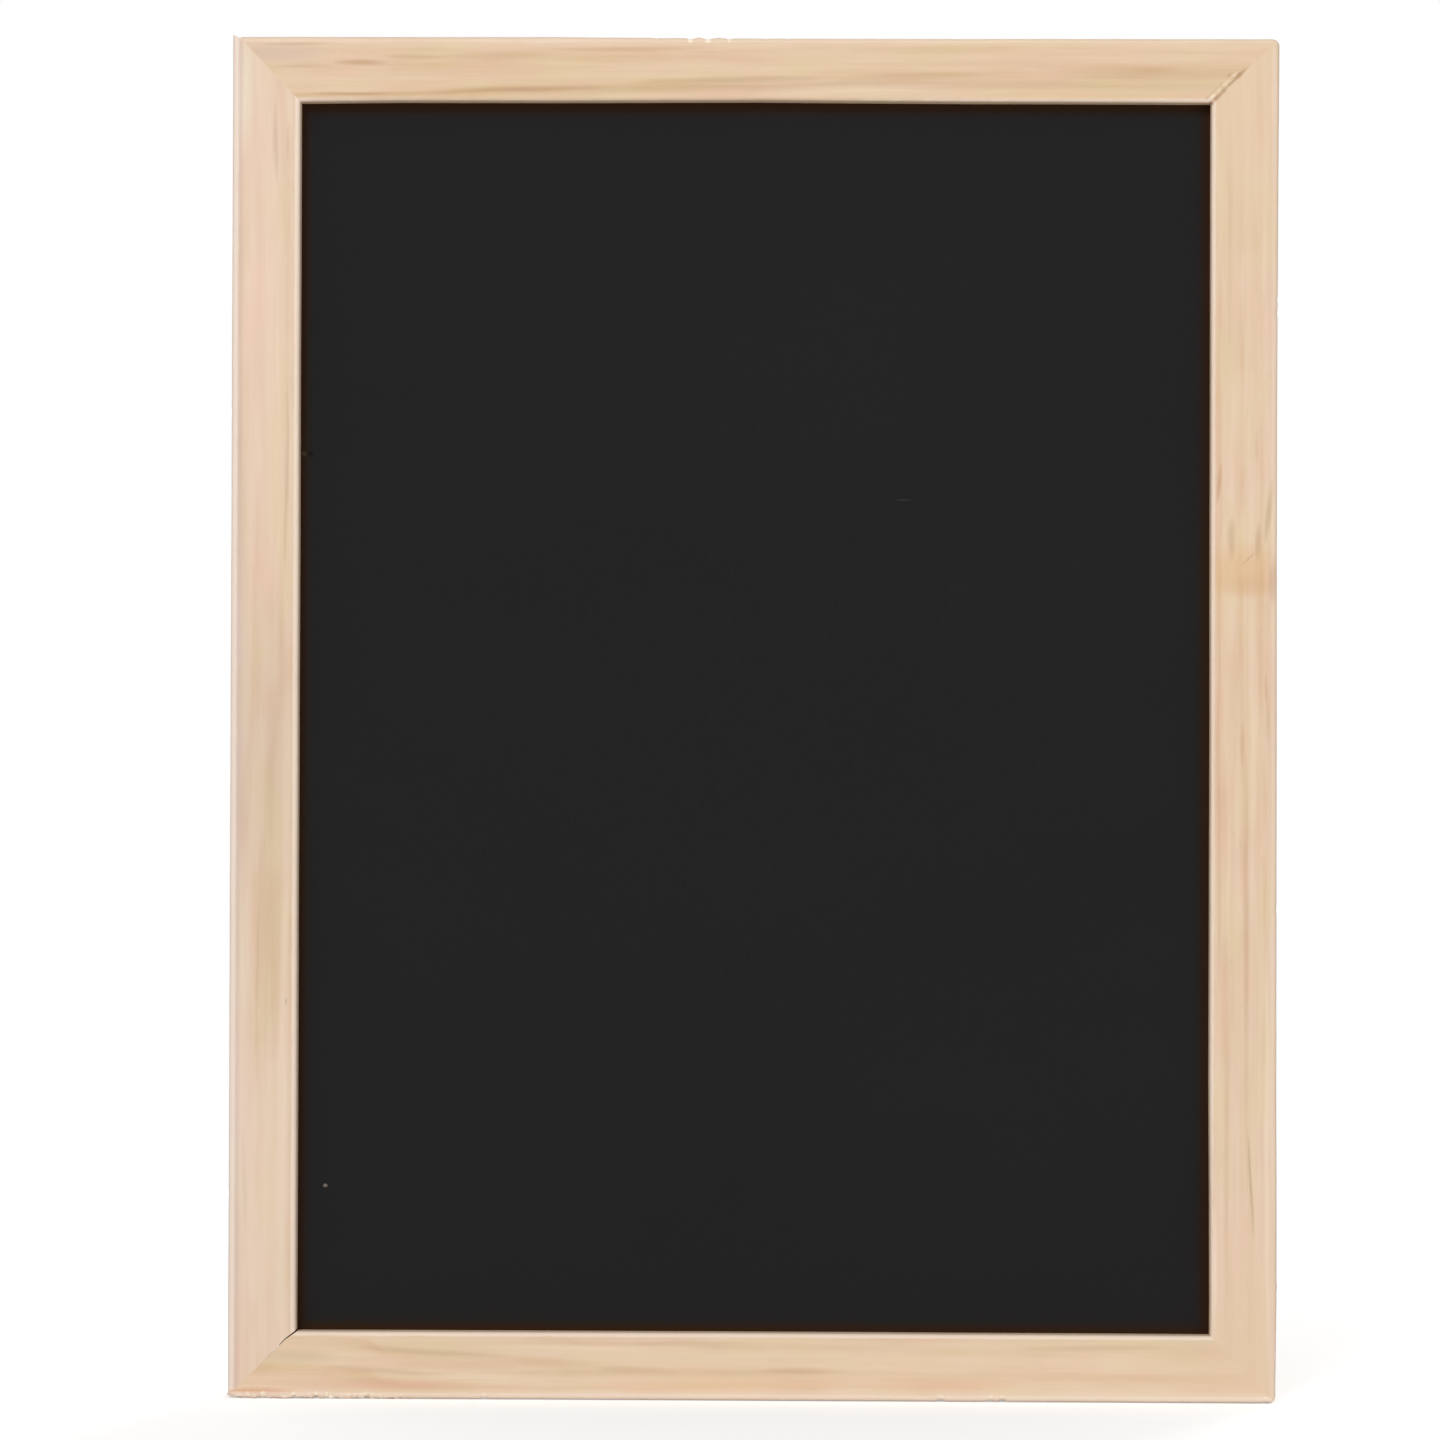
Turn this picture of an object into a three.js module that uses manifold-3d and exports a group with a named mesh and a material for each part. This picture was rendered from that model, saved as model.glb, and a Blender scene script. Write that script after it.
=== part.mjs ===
// A wall blackboard: a painted hardboard panel in a mitred pine frame.
// Millimetres, +Z up, the writing side faces -Y. The origin is the middle of the frame's bottom edge,
// halfway through its depth.

import * as THREE from "three";
import { mergeVertices, toCreasedNormals } from "three/addons/utils/BufferGeometryUtils.js";
import Module from "manifold-3d";

const wasm = await Module();
wasm.setup();

// Frame, measured over its outer edges
const frameWidth = 330;
const frameHeight = 430;

// Pine moulding, the same section on all four sides
const mouldingWidth = 21;
const mouldingDepth = 14;
const rebateWidth = 6.5;
const rebateDepth = 8;
const outerArris = 1.5;
const sightArris = 1.3;
const backChamfer = 0.6;
const glueLine = 0.12;

// Hardboard panel, painted on the writing side
const panelThickness = 3;
const panelCorner = 1.5;
const panelClearance = 0.5;
const seatGap = 0.1;

// Framer's points, steel tabs shot into the rebate wall behind the panel
const pointLength = 16;
const pointWidth = 7;
const pointGauge = 0.5;
const pointBite = 6.5;
const pointTaper = 4;
const pointTailRadius = 2;
const pointEndDistance = 62;
const railPoints = 2;
const stilePoints = 3;

// Corner wedges, V-shaped steel nails pressed across each mitre from the back
const wedgeLeg = 5.2;
const wedgeHeight = 9;
const wedgeGauge = 0.6;
const wedgeBend = 0.8;
const wedgeCurl = 0.9;
const wedgeSink = 0.3;
const wedgeEdgeDistance = 4;
const wedgeRebateDistance = 4;
const wedgeClearance = 0.1;

// Sawtooth hanger, pressed steel strip on the back of the top rail
const hangerLength = 46;
const hangerHeight = 9;
const hangerGauge = 0.8;
const hangerRise = 2.2;
const hangerRamp = 3;
const hangerBridge = 23;
const hangerBendRadius = 1.6;
const toothPitch = 2.3;
const toothDepth = 1.3;
const toothRecess = 0.9;
const hangerHole = 2.2;

// Hanger nails
const nailDiameter = 1.5;
const nailLength = 10;
const nailTip = 2.2;
const nailHeadDiameter = 3.6;
const nailHeadRim = 0.35;
const nailHeadCrown = 0.3;
const pilotClearance = 0.1;

const arcSteps = 5;
const roundSides = 24;
const weldDistance = 1e-4;
const creaseAngle = Math.PI / 5;
const quarterTurn = Math.PI / 2;

const backFace = mouldingDepth / 2;
const rebateShoulder = backFace - rebateDepth;
const openingWidth = frameWidth - 2 * mouldingWidth;
const openingHeight = frameHeight - 2 * mouldingWidth;
const panelWidth = openingWidth + 2 * (rebateWidth - panelClearance);
const panelHeight = openingHeight + 2 * (rebateWidth - panelClearance);
const panelFront = rebateShoulder + seatGap;
const panelBack = panelFront + panelThickness;
const hangerCentre = (rebateWidth + mouldingWidth) / 2;
const hangerNailPlace = (hangerLength - hangerHeight) / 2;

const pine = new THREE.MeshStandardMaterial({ name: "pine", color: 0xe4c8a9, roughness: 0.7 });
const blackboard = new THREE.MeshStandardMaterial({ name: "blackboard", color: 0x242322, roughness: 0.9 });
const zincSteel = new THREE.MeshStandardMaterial({
  name: "zinc_steel", color: 0xb4b5b5, roughness: 0.4, metalness: 1,
});
const brassedSteel = new THREE.MeshStandardMaterial({
  name: "brassed_steel", color: 0xc7a764, roughness: 0.35, metalness: 1,
});

// Axes for a flat outline: across keeps its plane square to the depth, along runs it down the moulding.
const facingFront = new THREE.Matrix4().makeBasis(
  new THREE.Vector3(1, 0, 0), new THREE.Vector3(0, 0, 1), new THREE.Vector3(0, -1, 0),
);
const downMoulding = new THREE.Matrix4().makeBasis(
  new THREE.Vector3(0, 0, 1), new THREE.Vector3(0, -1, 0), new THREE.Vector3(1, 0, 0),
);

function solidOf(geometry) {
  const bare = geometry.clone();
  bare.deleteAttribute("normal");
  bare.deleteAttribute("uv");
  const merged = mergeVertices(bare, weldDistance);
  return new wasm.Manifold(new wasm.Mesh({
    numProp: 3,
    vertProperties: merged.attributes.position.array,
    triVerts: new Uint32Array(merged.index.array),
  }));
}

function geometryOf(solid) {
  const mesh = solid.getMesh();
  const geometry = new THREE.BufferGeometry();
  geometry.setAttribute("position", new THREE.BufferAttribute(mesh.vertProperties, 3));
  geometry.setIndex(new THREE.BufferAttribute(mesh.triVerts, 1));
  return toCreasedNormals(geometry, creaseAngle);
}

// A plate with its outline in the X-Z plane, from depth y towards the front.
function plate(outline, y, thickness) {
  const geometry = new THREE.ExtrudeGeometry(outline, {
    depth: thickness, bevelEnabled: false, curveSegments: arcSteps,
  });
  return geometry.applyMatrix4(facingFront).translate(0, y, 0);
}

// The outline of a strip of even thickness along a centre line, lengthened at both ends.
function stripOutline(centreLine, thickness, lengthened) {
  const points = centreLine.map((point) => point.clone());
  const last = points.length - 1;
  const lengthen = (end, next) => {
    points[end].addScaledVector(points[end].clone().sub(points[next]).normalize(), lengthened);
  };
  lengthen(0, 1);
  lengthen(last, last - 1);
  const direction = (i) => points[i + 1].clone().sub(points[i]).normalize();
  const left = [];
  const right = [];
  points.forEach((point, i) => {
    const before = direction(Math.max(i - 1, 0));
    const after = direction(Math.min(i, last - 1));
    const bisector = before.clone().add(after).normalize();
    const reach = thickness / 2 / bisector.dot(after);
    const sideways = new THREE.Vector2(-bisector.y, bisector.x).multiplyScalar(reach);
    left.push(point.clone().add(sideways));
    right.unshift(point.clone().sub(sideways));
  });
  return new THREE.Shape([...left, ...right]);
}

// A line of straight runs with every corner between them bent to the given radius.
function bentLine(corners, radius) {
  const path = new THREE.Path();
  path.moveTo(corners[0].x, corners[0].y);
  for (let i = 1; i < corners.length - 1; i += 1) {
    const back = corners[i - 1].clone().sub(corners[i]).normalize();
    const ahead = corners[i + 1].clone().sub(corners[i]).normalize();
    const halfAngle = Math.acos(back.dot(ahead)) / 2;
    const centre = corners[i].clone()
      .addScaledVector(back.clone().add(ahead).normalize(), radius / Math.sin(halfAngle));
    const tangentLength = radius / Math.tan(halfAngle);
    const start = corners[i].clone().addScaledVector(back, tangentLength).sub(centre);
    const end = corners[i].clone().addScaledVector(ahead, tangentLength).sub(centre);
    path.absarc(centre.x, centre.y, radius, start.angle(), end.angle(), back.cross(ahead) > 0);
  }
  const last = corners[corners.length - 1];
  path.lineTo(last.x, last.y);
  return path.getPoints(2);
}

// Pine moulding
// The section: across from the sight edge, and up from the back to the front.
function mouldingSection() {
  const section = new THREE.Shape();
  section.moveTo(rebateWidth, 0);
  section.lineTo(mouldingWidth - backChamfer, 0);
  section.lineTo(mouldingWidth, backChamfer);
  section.absarc(mouldingWidth - outerArris, mouldingDepth - outerArris, outerArris, 0, quarterTurn);
  section.absarc(sightArris, mouldingDepth - sightArris, sightArris, quarterTurn, 2 * quarterTurn);
  section.lineTo(0, rebateDepth);
  section.lineTo(rebateWidth, rebateDepth);
  section.closePath();
  return section;
}

// Both ends are cut at 45 degrees: every end vertex moves in by its distance from the outer edge.
function mitredMoulding(length) {
  const geometry = new THREE.ExtrudeGeometry(mouldingSection(), {
    depth: length, bevelEnabled: false, curveSegments: arcSteps,
  });
  geometry.translate(0, -mouldingDepth / 2, -length / 2).applyMatrix4(downMoulding);
  const setBack = glueLine / Math.SQRT2;
  const position = geometry.attributes.position;
  for (let i = 0; i < position.count; i += 1) {
    const cut = mouldingWidth - position.getZ(i) + setBack;
    position.setX(i, Math.sign(position.getX(i)) * (length / 2 - cut));
  }
  return geometry;
}

// Corner wedges
// Its place is measured from the outer corner, with one leg along -X and the other along -Z.
function wedgeOutline(clearance) {
  const path = new THREE.Path();
  path.absarc(-wedgeLeg, -wedgeCurl, wedgeCurl, 2 * quarterTurn, quarterTurn, true);
  path.absarc(-wedgeBend, -wedgeBend, wedgeBend, quarterTurn, 0, true);
  path.absarc(-wedgeCurl, -wedgeLeg, wedgeCurl, 0, -quarterTurn, true);
  return stripOutline(path.getPoints(2), wedgeGauge + 2 * clearance, clearance);
}

// How far in from the outer edges each wedge's bend lies.
const wedgePlaces = {
  outer: wedgeEdgeDistance,
  inner: mouldingWidth - rebateWidth - wedgeRebateDistance,
};

function wedgeGeometry() {
  return plate(wedgeOutline(0), backFace - wedgeSink, wedgeHeight);
}

function wedgePocket() {
  return plate(wedgeOutline(wedgeClearance), backFace + 1, 1 + wedgeSink + wedgeHeight + wedgeClearance);
}

// Framer's points
// The tail lies over the panel, on the -Z side of the rebate wall, and the tip is in the wood.
function pointOutline(clearance) {
  const half = pointWidth / 2 + clearance;
  const tip = rebateWidth + pointBite + clearance;
  const tail = rebateWidth + pointBite - pointLength;
  const outline = new THREE.Shape();
  outline.moveTo(half, tail + pointTailRadius);
  outline.lineTo(half, tip - pointTaper);
  outline.lineTo(0, tip);
  outline.lineTo(-half, tip - pointTaper);
  outline.absarc(-half + pointTailRadius, tail + pointTailRadius, pointTailRadius,
    2 * quarterTurn, 3 * quarterTurn);
  outline.absarc(half - pointTailRadius, tail + pointTailRadius, pointTailRadius,
    3 * quarterTurn, 4 * quarterTurn);
  outline.closePath();
  return outline;
}

const pointBack = panelBack + seatGap + pointGauge;

function pointGeometry() {
  return plate(pointOutline(0), pointBack, pointGauge);
}

function pointSlot() {
  return plate(pointOutline(seatGap), pointBack + seatGap, pointGauge + 2 * seatGap);
}

// Even spacing along one side of the panel, with the first and last a set distance from its corners.
function pointPlaces(side) {
  const reach = side.panelSpan / 2 - pointEndDistance;
  return Array.from({ length: side.points }, (_, i) => -reach + (2 * reach * i) / (side.points - 1));
}

// Sawtooth hanger
// Seen from the side: two flat ends on the wood and a raised bridge between them, with bent corners.
function hangerSide() {
  const low = hangerGauge / 2;
  const high = low + hangerRise;
  const bridgeEnd = hangerBridge / 2;
  const rampEnd = bridgeEnd + hangerRamp;
  const corners = [
    [-hangerLength / 2, low], [-rampEnd, low], [-bridgeEnd, high],
    [bridgeEnd, high], [rampEnd, low], [hangerLength / 2, low],
  ].map(([x, y]) => new THREE.Vector2(x, y));
  return stripOutline(bentLine(corners, hangerBendRadius), hangerGauge, 0);
}

// Seen from the back: round ends with a nail hole each, and teeth along the bridge's lower edge.
function hangerOutline() {
  const half = hangerHeight / 2;
  const roundCentre = hangerLength / 2 - half;
  const teeth = Math.floor(hangerBridge / toothPitch);
  const firstTooth = (-teeth * toothPitch) / 2;
  const toothTips = toothRecess - half;
  const outline = new THREE.Shape();
  outline.moveTo(firstTooth - toothRecess, -half);
  outline.lineTo(firstTooth, toothTips);
  for (let i = 0; i < teeth; i += 1) {
    const x = firstTooth + i * toothPitch;
    outline.lineTo(x + toothPitch / 2, toothTips + toothDepth);
    outline.lineTo(x + toothPitch, toothTips);
  }
  outline.lineTo(toothRecess - firstTooth, -half);
  outline.absarc(roundCentre, 0, half, -quarterTurn, quarterTurn);
  outline.absarc(-roundCentre, 0, half, quarterTurn, 3 * quarterTurn);
  outline.closePath();
  for (const side of [-1, 1]) {
    const hole = new THREE.Path();
    hole.absarc(side * hangerNailPlace, 0, hangerHole / 2, 0, 4 * quarterTurn);
    outline.holes.push(hole);
  }
  return outline;
}

function hangerGeometry() {
  const strip = new THREE.ExtrudeGeometry(hangerSide(), { depth: hangerHeight, bevelEnabled: false });
  strip.translate(0, 0, -hangerHeight / 2);
  const reach = hangerRise + hangerGauge + 1;
  const blank = new THREE.ExtrudeGeometry(hangerOutline(), {
    depth: reach + 1, bevelEnabled: false, curveSegments: roundSides / 2,
  });
  blank.applyMatrix4(facingFront).translate(0, reach, 0);
  return geometryOf(solidOf(strip).intersect(solidOf(blank)));
}

// Hanger nails, turned about Y with the head towards the back and its underside at zero.
function nailGeometry() {
  const shank = nailDiameter / 2;
  const head = nailHeadDiameter / 2;
  const profile = [
    [0, -nailLength], [shank, nailTip - nailLength], [shank, 0], [head, 0],
    [head, nailHeadRim], [head / 2, nailHeadRim + nailHeadCrown], [0, nailHeadRim + nailHeadCrown],
  ].map(([x, y]) => new THREE.Vector2(x, y));
  return new THREE.LatheGeometry(profile, roundSides);
}

const nailSeat = backFace + seatGap + hangerGauge + seatGap;

function pilotHole() {
  const depth = nailLength + seatGap + 1;
  const hole = new THREE.CylinderGeometry(
    nailDiameter / 2 + pilotClearance, nailDiameter / 2 + pilotClearance, depth, roundSides,
  );
  return hole.translate(0, nailSeat + 1 - depth / 2, 0);
}

// Frame sides, each built as if it were the top one and then turned about the middle of the frame.
const sides = [
  { name: "top_rail", point: "panel_point_top", turn: 0, length: frameWidth, span: frameHeight,
    panelSpan: panelWidth, points: railPoints, hanger: true },
  { name: "right_stile", point: "panel_point_right", turn: 1, length: frameHeight, span: frameWidth,
    panelSpan: panelHeight, points: stilePoints, hanger: false },
  { name: "bottom_rail", point: "panel_point_bottom", turn: 2, length: frameWidth, span: frameHeight,
    panelSpan: panelWidth, points: railPoints, hanger: false },
  { name: "left_stile", point: "panel_point_left", turn: 3, length: frameHeight, span: frameWidth,
    panelSpan: panelHeight, points: stilePoints, hanger: false },
];

function sideGeometry(side) {
  const cuts = [];
  for (const place of Object.values(wedgePlaces)) {
    const pocket = wedgePocket().translate(-place, 0, -place);
    cuts.push(pocket.clone().translate(side.length / 2, 0, mouldingWidth));
    cuts.push(pocket.rotateY(-quarterTurn).translate(-side.length / 2, 0, mouldingWidth));
  }
  for (const x of pointPlaces(side)) {
    cuts.push(pointSlot().translate(x, 0, 0));
  }
  if (side.hanger) {
    for (const x of [-hangerNailPlace, hangerNailPlace]) {
      cuts.push(pilotHole().translate(x, 0, hangerCentre));
    }
  }
  let solid = solidOf(mitredMoulding(side.length));
  for (const cut of cuts) {
    solid = solid.subtract(solidOf(cut));
  }
  return geometryOf(solid);
}

function named(name, geometry, material) {
  const mesh = new THREE.Mesh(geometry, material);
  mesh.name = name;
  return mesh;
}

function frameSide(side) {
  const group = new THREE.Group();
  group.rotation.y = side.turn * quarterTurn;
  const atSightEdge = new THREE.Group();
  atSightEdge.position.z = side.span / 2 - mouldingWidth;
  group.add(atSightEdge);
  atSightEdge.add(named(side.name, sideGeometry(side), pine));
  pointPlaces(side).forEach((x, i) => {
    const point = named(`${side.point}_${i + 1}`, pointGeometry(), zincSteel);
    point.position.x = x;
    atSightEdge.add(point);
  });
  return group;
}

function cornerWedges(corner, index) {
  const group = new THREE.Group();
  group.rotation.y = index * quarterTurn;
  const across = index % 2 === 0 ? frameWidth : frameHeight;
  const up = index % 2 === 0 ? frameHeight : frameWidth;
  for (const [place, inset] of Object.entries(wedgePlaces)) {
    const wedge = named(`corner_wedge_${corner}_${place}`, wedgeGeometry(), zincSteel);
    wedge.position.set(across / 2 - inset, 0, up / 2 - inset);
    group.add(wedge);
  }
  return group;
}

function writingPanel() {
  const halfWidth = panelWidth / 2;
  const halfHeight = panelHeight / 2;
  const outline = new THREE.Shape();
  outline.moveTo(-halfWidth + panelCorner, -halfHeight);
  outline.lineTo(halfWidth - panelCorner, -halfHeight);
  outline.lineTo(halfWidth, -halfHeight + panelCorner);
  outline.lineTo(halfWidth, halfHeight - panelCorner);
  outline.lineTo(halfWidth - panelCorner, halfHeight);
  outline.lineTo(-halfWidth + panelCorner, halfHeight);
  outline.lineTo(-halfWidth, halfHeight - panelCorner);
  outline.lineTo(-halfWidth, -halfHeight + panelCorner);
  outline.closePath();
  return named("writing_panel", plate(outline, panelBack, panelThickness), blackboard);
}

function hangerSet() {
  const group = new THREE.Group();
  group.position.z = frameHeight / 2 - mouldingWidth + hangerCentre;
  const hanger = named("sawtooth_hanger", hangerGeometry(), brassedSteel);
  hanger.position.y = backFace + seatGap;
  group.add(hanger);
  for (const [side, x] of [["left", -hangerNailPlace], ["right", hangerNailPlace]]) {
    const nail = named(`hanger_nail_${side}`, nailGeometry(), brassedSteel);
    nail.position.set(x, nailSeat, 0);
    group.add(nail);
  }
  return group;
}

const board = new THREE.Group();
board.position.z = frameHeight / 2;
sides.forEach((side) => board.add(frameSide(side)));
["top_right", "bottom_right", "bottom_left", "top_left"].forEach((corner, i) => {
  board.add(cornerWedges(corner, i));
});
board.add(writingPanel(), hangerSet());

const blackboardAssembly = new THREE.Group();
blackboardAssembly.add(board);

export default blackboardAssembly;
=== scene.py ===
"""A small wall blackboard: painted hardboard held in a mitred pine frame, hung by a sawtooth strip.

Metres, +Z up. The writing side faces -Y, and the frame stands on its bottom edge at z = 0.
"""

import math
from contextlib import contextmanager

import bmesh
import bpy
import numpy as np
from mathutils import Matrix, Vector, noise


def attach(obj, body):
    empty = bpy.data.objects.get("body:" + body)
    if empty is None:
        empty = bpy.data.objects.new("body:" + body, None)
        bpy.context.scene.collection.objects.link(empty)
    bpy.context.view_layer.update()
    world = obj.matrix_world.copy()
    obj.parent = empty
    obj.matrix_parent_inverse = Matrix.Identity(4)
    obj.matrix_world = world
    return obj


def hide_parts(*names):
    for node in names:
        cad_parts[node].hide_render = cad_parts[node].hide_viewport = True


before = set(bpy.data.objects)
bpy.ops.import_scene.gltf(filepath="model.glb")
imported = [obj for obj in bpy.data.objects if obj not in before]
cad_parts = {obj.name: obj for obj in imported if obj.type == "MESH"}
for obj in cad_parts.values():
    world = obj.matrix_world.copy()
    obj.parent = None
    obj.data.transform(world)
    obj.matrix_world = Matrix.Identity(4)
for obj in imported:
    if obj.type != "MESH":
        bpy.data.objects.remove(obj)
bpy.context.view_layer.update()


# Pine mouldings
# Four lengths of one section of European redwood, planed, mitred and glued, with the front arrises
# and the outer corners rubbed round by sanding. The left stile slid up as the glue set, so that its
# point stands above the top rail, and the mitre at the top right has split open along the face.
mm = 0.001
quarter_turn = math.pi / 2
frame_width = 330 * mm
frame_height = 430 * mm
middle_height = frame_height / 2
moulding_width = 21 * mm
moulding_depth = 14 * mm
rebate_width = 6.5 * mm
rebate_depth = 8 * mm
front_face = -moulding_depth / 2
back_face = moulding_depth / 2


def linear(hex_colour):
    """An sRGB hex colour as the linear colour that the shaders take."""
    shares = [int(hex_colour[i:i + 2], 16) / 255 for i in (1, 3, 5)]
    return (*((c / 12.92 if c <= 0.04045 else ((c + 0.055) / 1.055) ** 2.4) for c in shares), 1.0)


def feed(tree, node, key, value):
    """Sets an input of a node, or links a socket or another node's first output to it."""
    socket = node.inputs[key] if isinstance(key, int) else next(
        s for s in node.inputs if s.enabled and s.name == key)
    if isinstance(value, bpy.types.Node):
        value = next(s for s in value.outputs if s.enabled)
    if isinstance(value, bpy.types.NodeSocket):
        tree.links.new(value, socket)
    else:
        socket.default_value = value


def add(tree, kind, inputs=(), **settings):
    """Adds a node of a kind such as "Points", or of a kind and its choice such as "Math ADD", with
    its settings, and feeds its inputs by name, or in order from a list."""
    kind, *choice = kind.split()
    family = next(f for f in ("Shader", "Geometry", "Function", "") if hasattr(bpy.types, f"{f}Node{kind}"))
    node = tree.nodes.new(f"{family}Node{kind}")
    if choice:
        options = ("operation", "interpolation_type", "mode", "data_type", "vector_type")
        settings[next(name for name in options if hasattr(node, name))] = choice[0]
    for name, value in settings.items():
        setattr(node, name, value)
    for key, value in (inputs.items() if isinstance(inputs, dict) else enumerate(inputs)):
        feed(tree, node, key, value)
    return node


def open_tree(name, sizes):
    """A Geometry Nodes tree with a named input for each size, and the node that gives them out."""
    tree = bpy.data.node_groups.new(name, "GeometryNodeTree")
    kinds = {int: "NodeSocketInt", float: "NodeSocketFloat", type(None): "NodeSocketMaterial"}
    for label, value in sizes.items():
        socket = tree.interface.new_socket(name=label, in_out="INPUT", socket_type=kinds[type(value)])
        if value is not None:
            socket.default_value = value
    tree.interface.new_socket(name="Geometry", in_out="OUTPUT", socket_type="NodeSocketGeometry")
    return tree, add(tree, "GroupInput").outputs


def close_tree(tree, geometry, material):
    """Ends a tree in plain, smooth geometry of one material, and returns the tree."""
    smooth = add(tree, "SetShadeSmooth", {"Geometry": geometry, "Shade Smooth": True})
    plain = add(tree, "RealizeInstances", {"Geometry": smooth})
    finished = add(tree, "SetMaterial", {"Geometry": plain, "Material": material})
    add(tree, "GroupOutput", {"Geometry": finished})
    return tree


def outline(tree, corners, radii, steps, closed):
    """A curve through the corners, with each corner rounded to its own radius."""
    index = add(tree, "InputIndex")
    place = add(tree, "IndexSwitch VECTOR", {"Index": index})
    rounding = add(tree, "IndexSwitch FLOAT", {"Index": index})
    for i, ((x, y), radius) in enumerate(zip(corners, radii)):
        if i > 1:
            place.index_switch_items.new()
            rounding.index_switch_items.new()
        feed(tree, place, str(i), add(tree, "CombineXYZ", {"X": x, "Y": y}))
        feed(tree, rounding, str(i), radius)
    points = add(tree, "Points", {"Count": len(corners), "Position": place})
    curve = add(tree, "PointsToCurves", {"Points": points})
    if closed:
        curve = add(tree, "SetSplineCyclic", {"Geometry": curve, "Cyclic": True})
    return add(tree, "FilletCurve POLY", {
        "Curve": curve, "Count": steps, "Radius": rounding, "Limit Radius": True})


def set_out(name, data):
    """A new object of this data, put in the scene."""
    piece = bpy.data.objects.new(name, data)
    bpy.context.scene.collection.objects.link(piece)
    return piece


def plain_mesh(piece):
    """The mesh that a piece comes to with its modifiers, or with its curve's thickness."""
    depsgraph = bpy.context.evaluated_depsgraph_get()
    return bpy.data.meshes.new_from_object(piece.evaluated_get(depsgraph), depsgraph=depsgraph)


def made_by(tree, name, sizes):
    """Runs a tree with these sizes, and returns its result as an object with a plain mesh."""
    piece = set_out(name, bpy.data.meshes.new(name))
    modifier = piece.modifiers.new(tree.name, "NODES")
    modifier.node_group = tree
    for item in tree.interface.items_tree:
        if item.in_out == "INPUT" and item.name in sizes:
            modifier[item.identifier] = sizes[item.name]
    mesh = plain_mesh(piece)
    piece.modifiers.remove(modifier)
    piece.data = mesh
    mesh.name = name
    return piece


tree, size = open_tree("mitred moulding", {
    "Length": frame_width, "Width": moulding_width, "Depth": moulding_depth,
    "Rebate Width": rebate_width, "Rebate Depth": rebate_depth,
    "Outer Arris": 1.5 * mm, "Sight Arris": 1.3 * mm, "Back Arris": 0.4 * mm, "Lip Arris": 0.2 * mm,
    "Step": 0.7 * mm, "Face Step": 1.4 * mm,
    "Start Overrun": 0.0, "End Overrun": 0.0, "Start Corner": 1.0 * mm, "End Corner": 1.0 * mm,
    "Start Open Joint": 0.0, "End Open Joint": 0.0,
    "Wear": 0.16 * mm, "Waver": 0.16 * mm, "Seed": 0.0, "Turn": 0.0, "Reach": middle_height,
    "Middle Height": middle_height, "Wood": None})

# The section lies flat, with across run backwards along X, so that turning it upright keeps its
# faces outward.
half_depth = add(tree, "Math MULTIPLY", [size["Depth"], 0.5])
front = add(tree, "Math MULTIPLY", [half_depth, -1])
outer = add(tree, "Math MULTIPLY", [size["Width"], -1])
rebate = add(tree, "Math MULTIPLY", [size["Rebate Width"], -1])
shoulder = add(tree, "Math SUBTRACT", [half_depth, size["Rebate Depth"]])
corners = [(rebate, half_depth), (outer, half_depth), (outer, front), (0, front), (0, shoulder),
           (rebate, shoulder)]
arrises = [size[f"{place} Arris"] for place in ("Lip", "Back", "Outer", "Sight", "Lip", "Lip")]
section = outline(tree, corners, arrises, steps=6, closed=True)
here = add(tree, "InputPosition")
following = add(tree, "OffsetPointInCurve", {"Point Index": add(tree, "InputIndex"), "Offset": 1})
ahead = add(tree, "FieldAtIndex FLOAT_VECTOR", {"Value": here, "Index": following.outputs["Point Index"]})
run = add(tree, "VectorMath DISTANCE", [here, ahead])
cuts = add(tree, "Math DIVIDE", [run, size["Face Step"]])
section = add(tree, "SubdivideCurve", {"Curve": section, "Cuts": cuts})
half_length = add(tree, "Math MULTIPLY", [size["Length"], 0.5])
start = add(tree, "CombineXYZ", {"Z": add(tree, "Math MULTIPLY", [half_length, -1])})
end = add(tree, "CombineXYZ", {"Z": half_length})
path = add(tree, "CurvePrimitiveLine", {"Start": start, "End": end})
path = add(tree, "ResampleCurve LENGTH", {"Curve": path, "Length": size["Step"]})
length = add(tree, "CurveToMesh", {"Curve": path, "Profile Curve": section, "Fill Caps": True})

# The mitre: a point's distance from its end grows with its distance from the outer edge.
axes = add(tree, "SeparateXYZ", [here])
across = add(tree, "Math MULTIPLY", [axes.outputs["X"], -1])
at_end = add(tree, "Math GREATER_THAN", [axes.outputs["Z"], 0])
share = add(tree, "Math DIVIDE", [add(tree, "Math ABSOLUTE", [axes.outputs["Z"]]), half_length])
overrun, corner, opening = (
    add(tree, "Mix", {"Factor": at_end, "A": size[f"Start {fact}"], "B": size[f"End {fact}"]})
    for fact in ("Overrun", "Corner", "Open Joint"))
from_edge = add(tree, "Math SUBTRACT", [size["Width"], across])
inward = add(tree, "Math DIVIDE", [from_edge, size["Width"]])
lean = add(tree, "Math MULTIPLY", [overrun, add(tree, "Math SUBTRACT", [1, inward])])
gape = add(tree, "Math MULTIPLY", [opening, add(tree, "Math POWER", [inward, 5])])
cut = add(tree, "Math ADD", [add(tree, "Math SUBTRACT", [from_edge, lean]), gape])
half_reach = add(tree, "Math ADD", [half_length, overrun])
shortened = add(tree, "Math SUBTRACT", [half_length, cut])
from_end = add(tree, "Math SUBTRACT", [half_reach, add(tree, "Math MULTIPLY", [share, shortened])])

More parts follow.
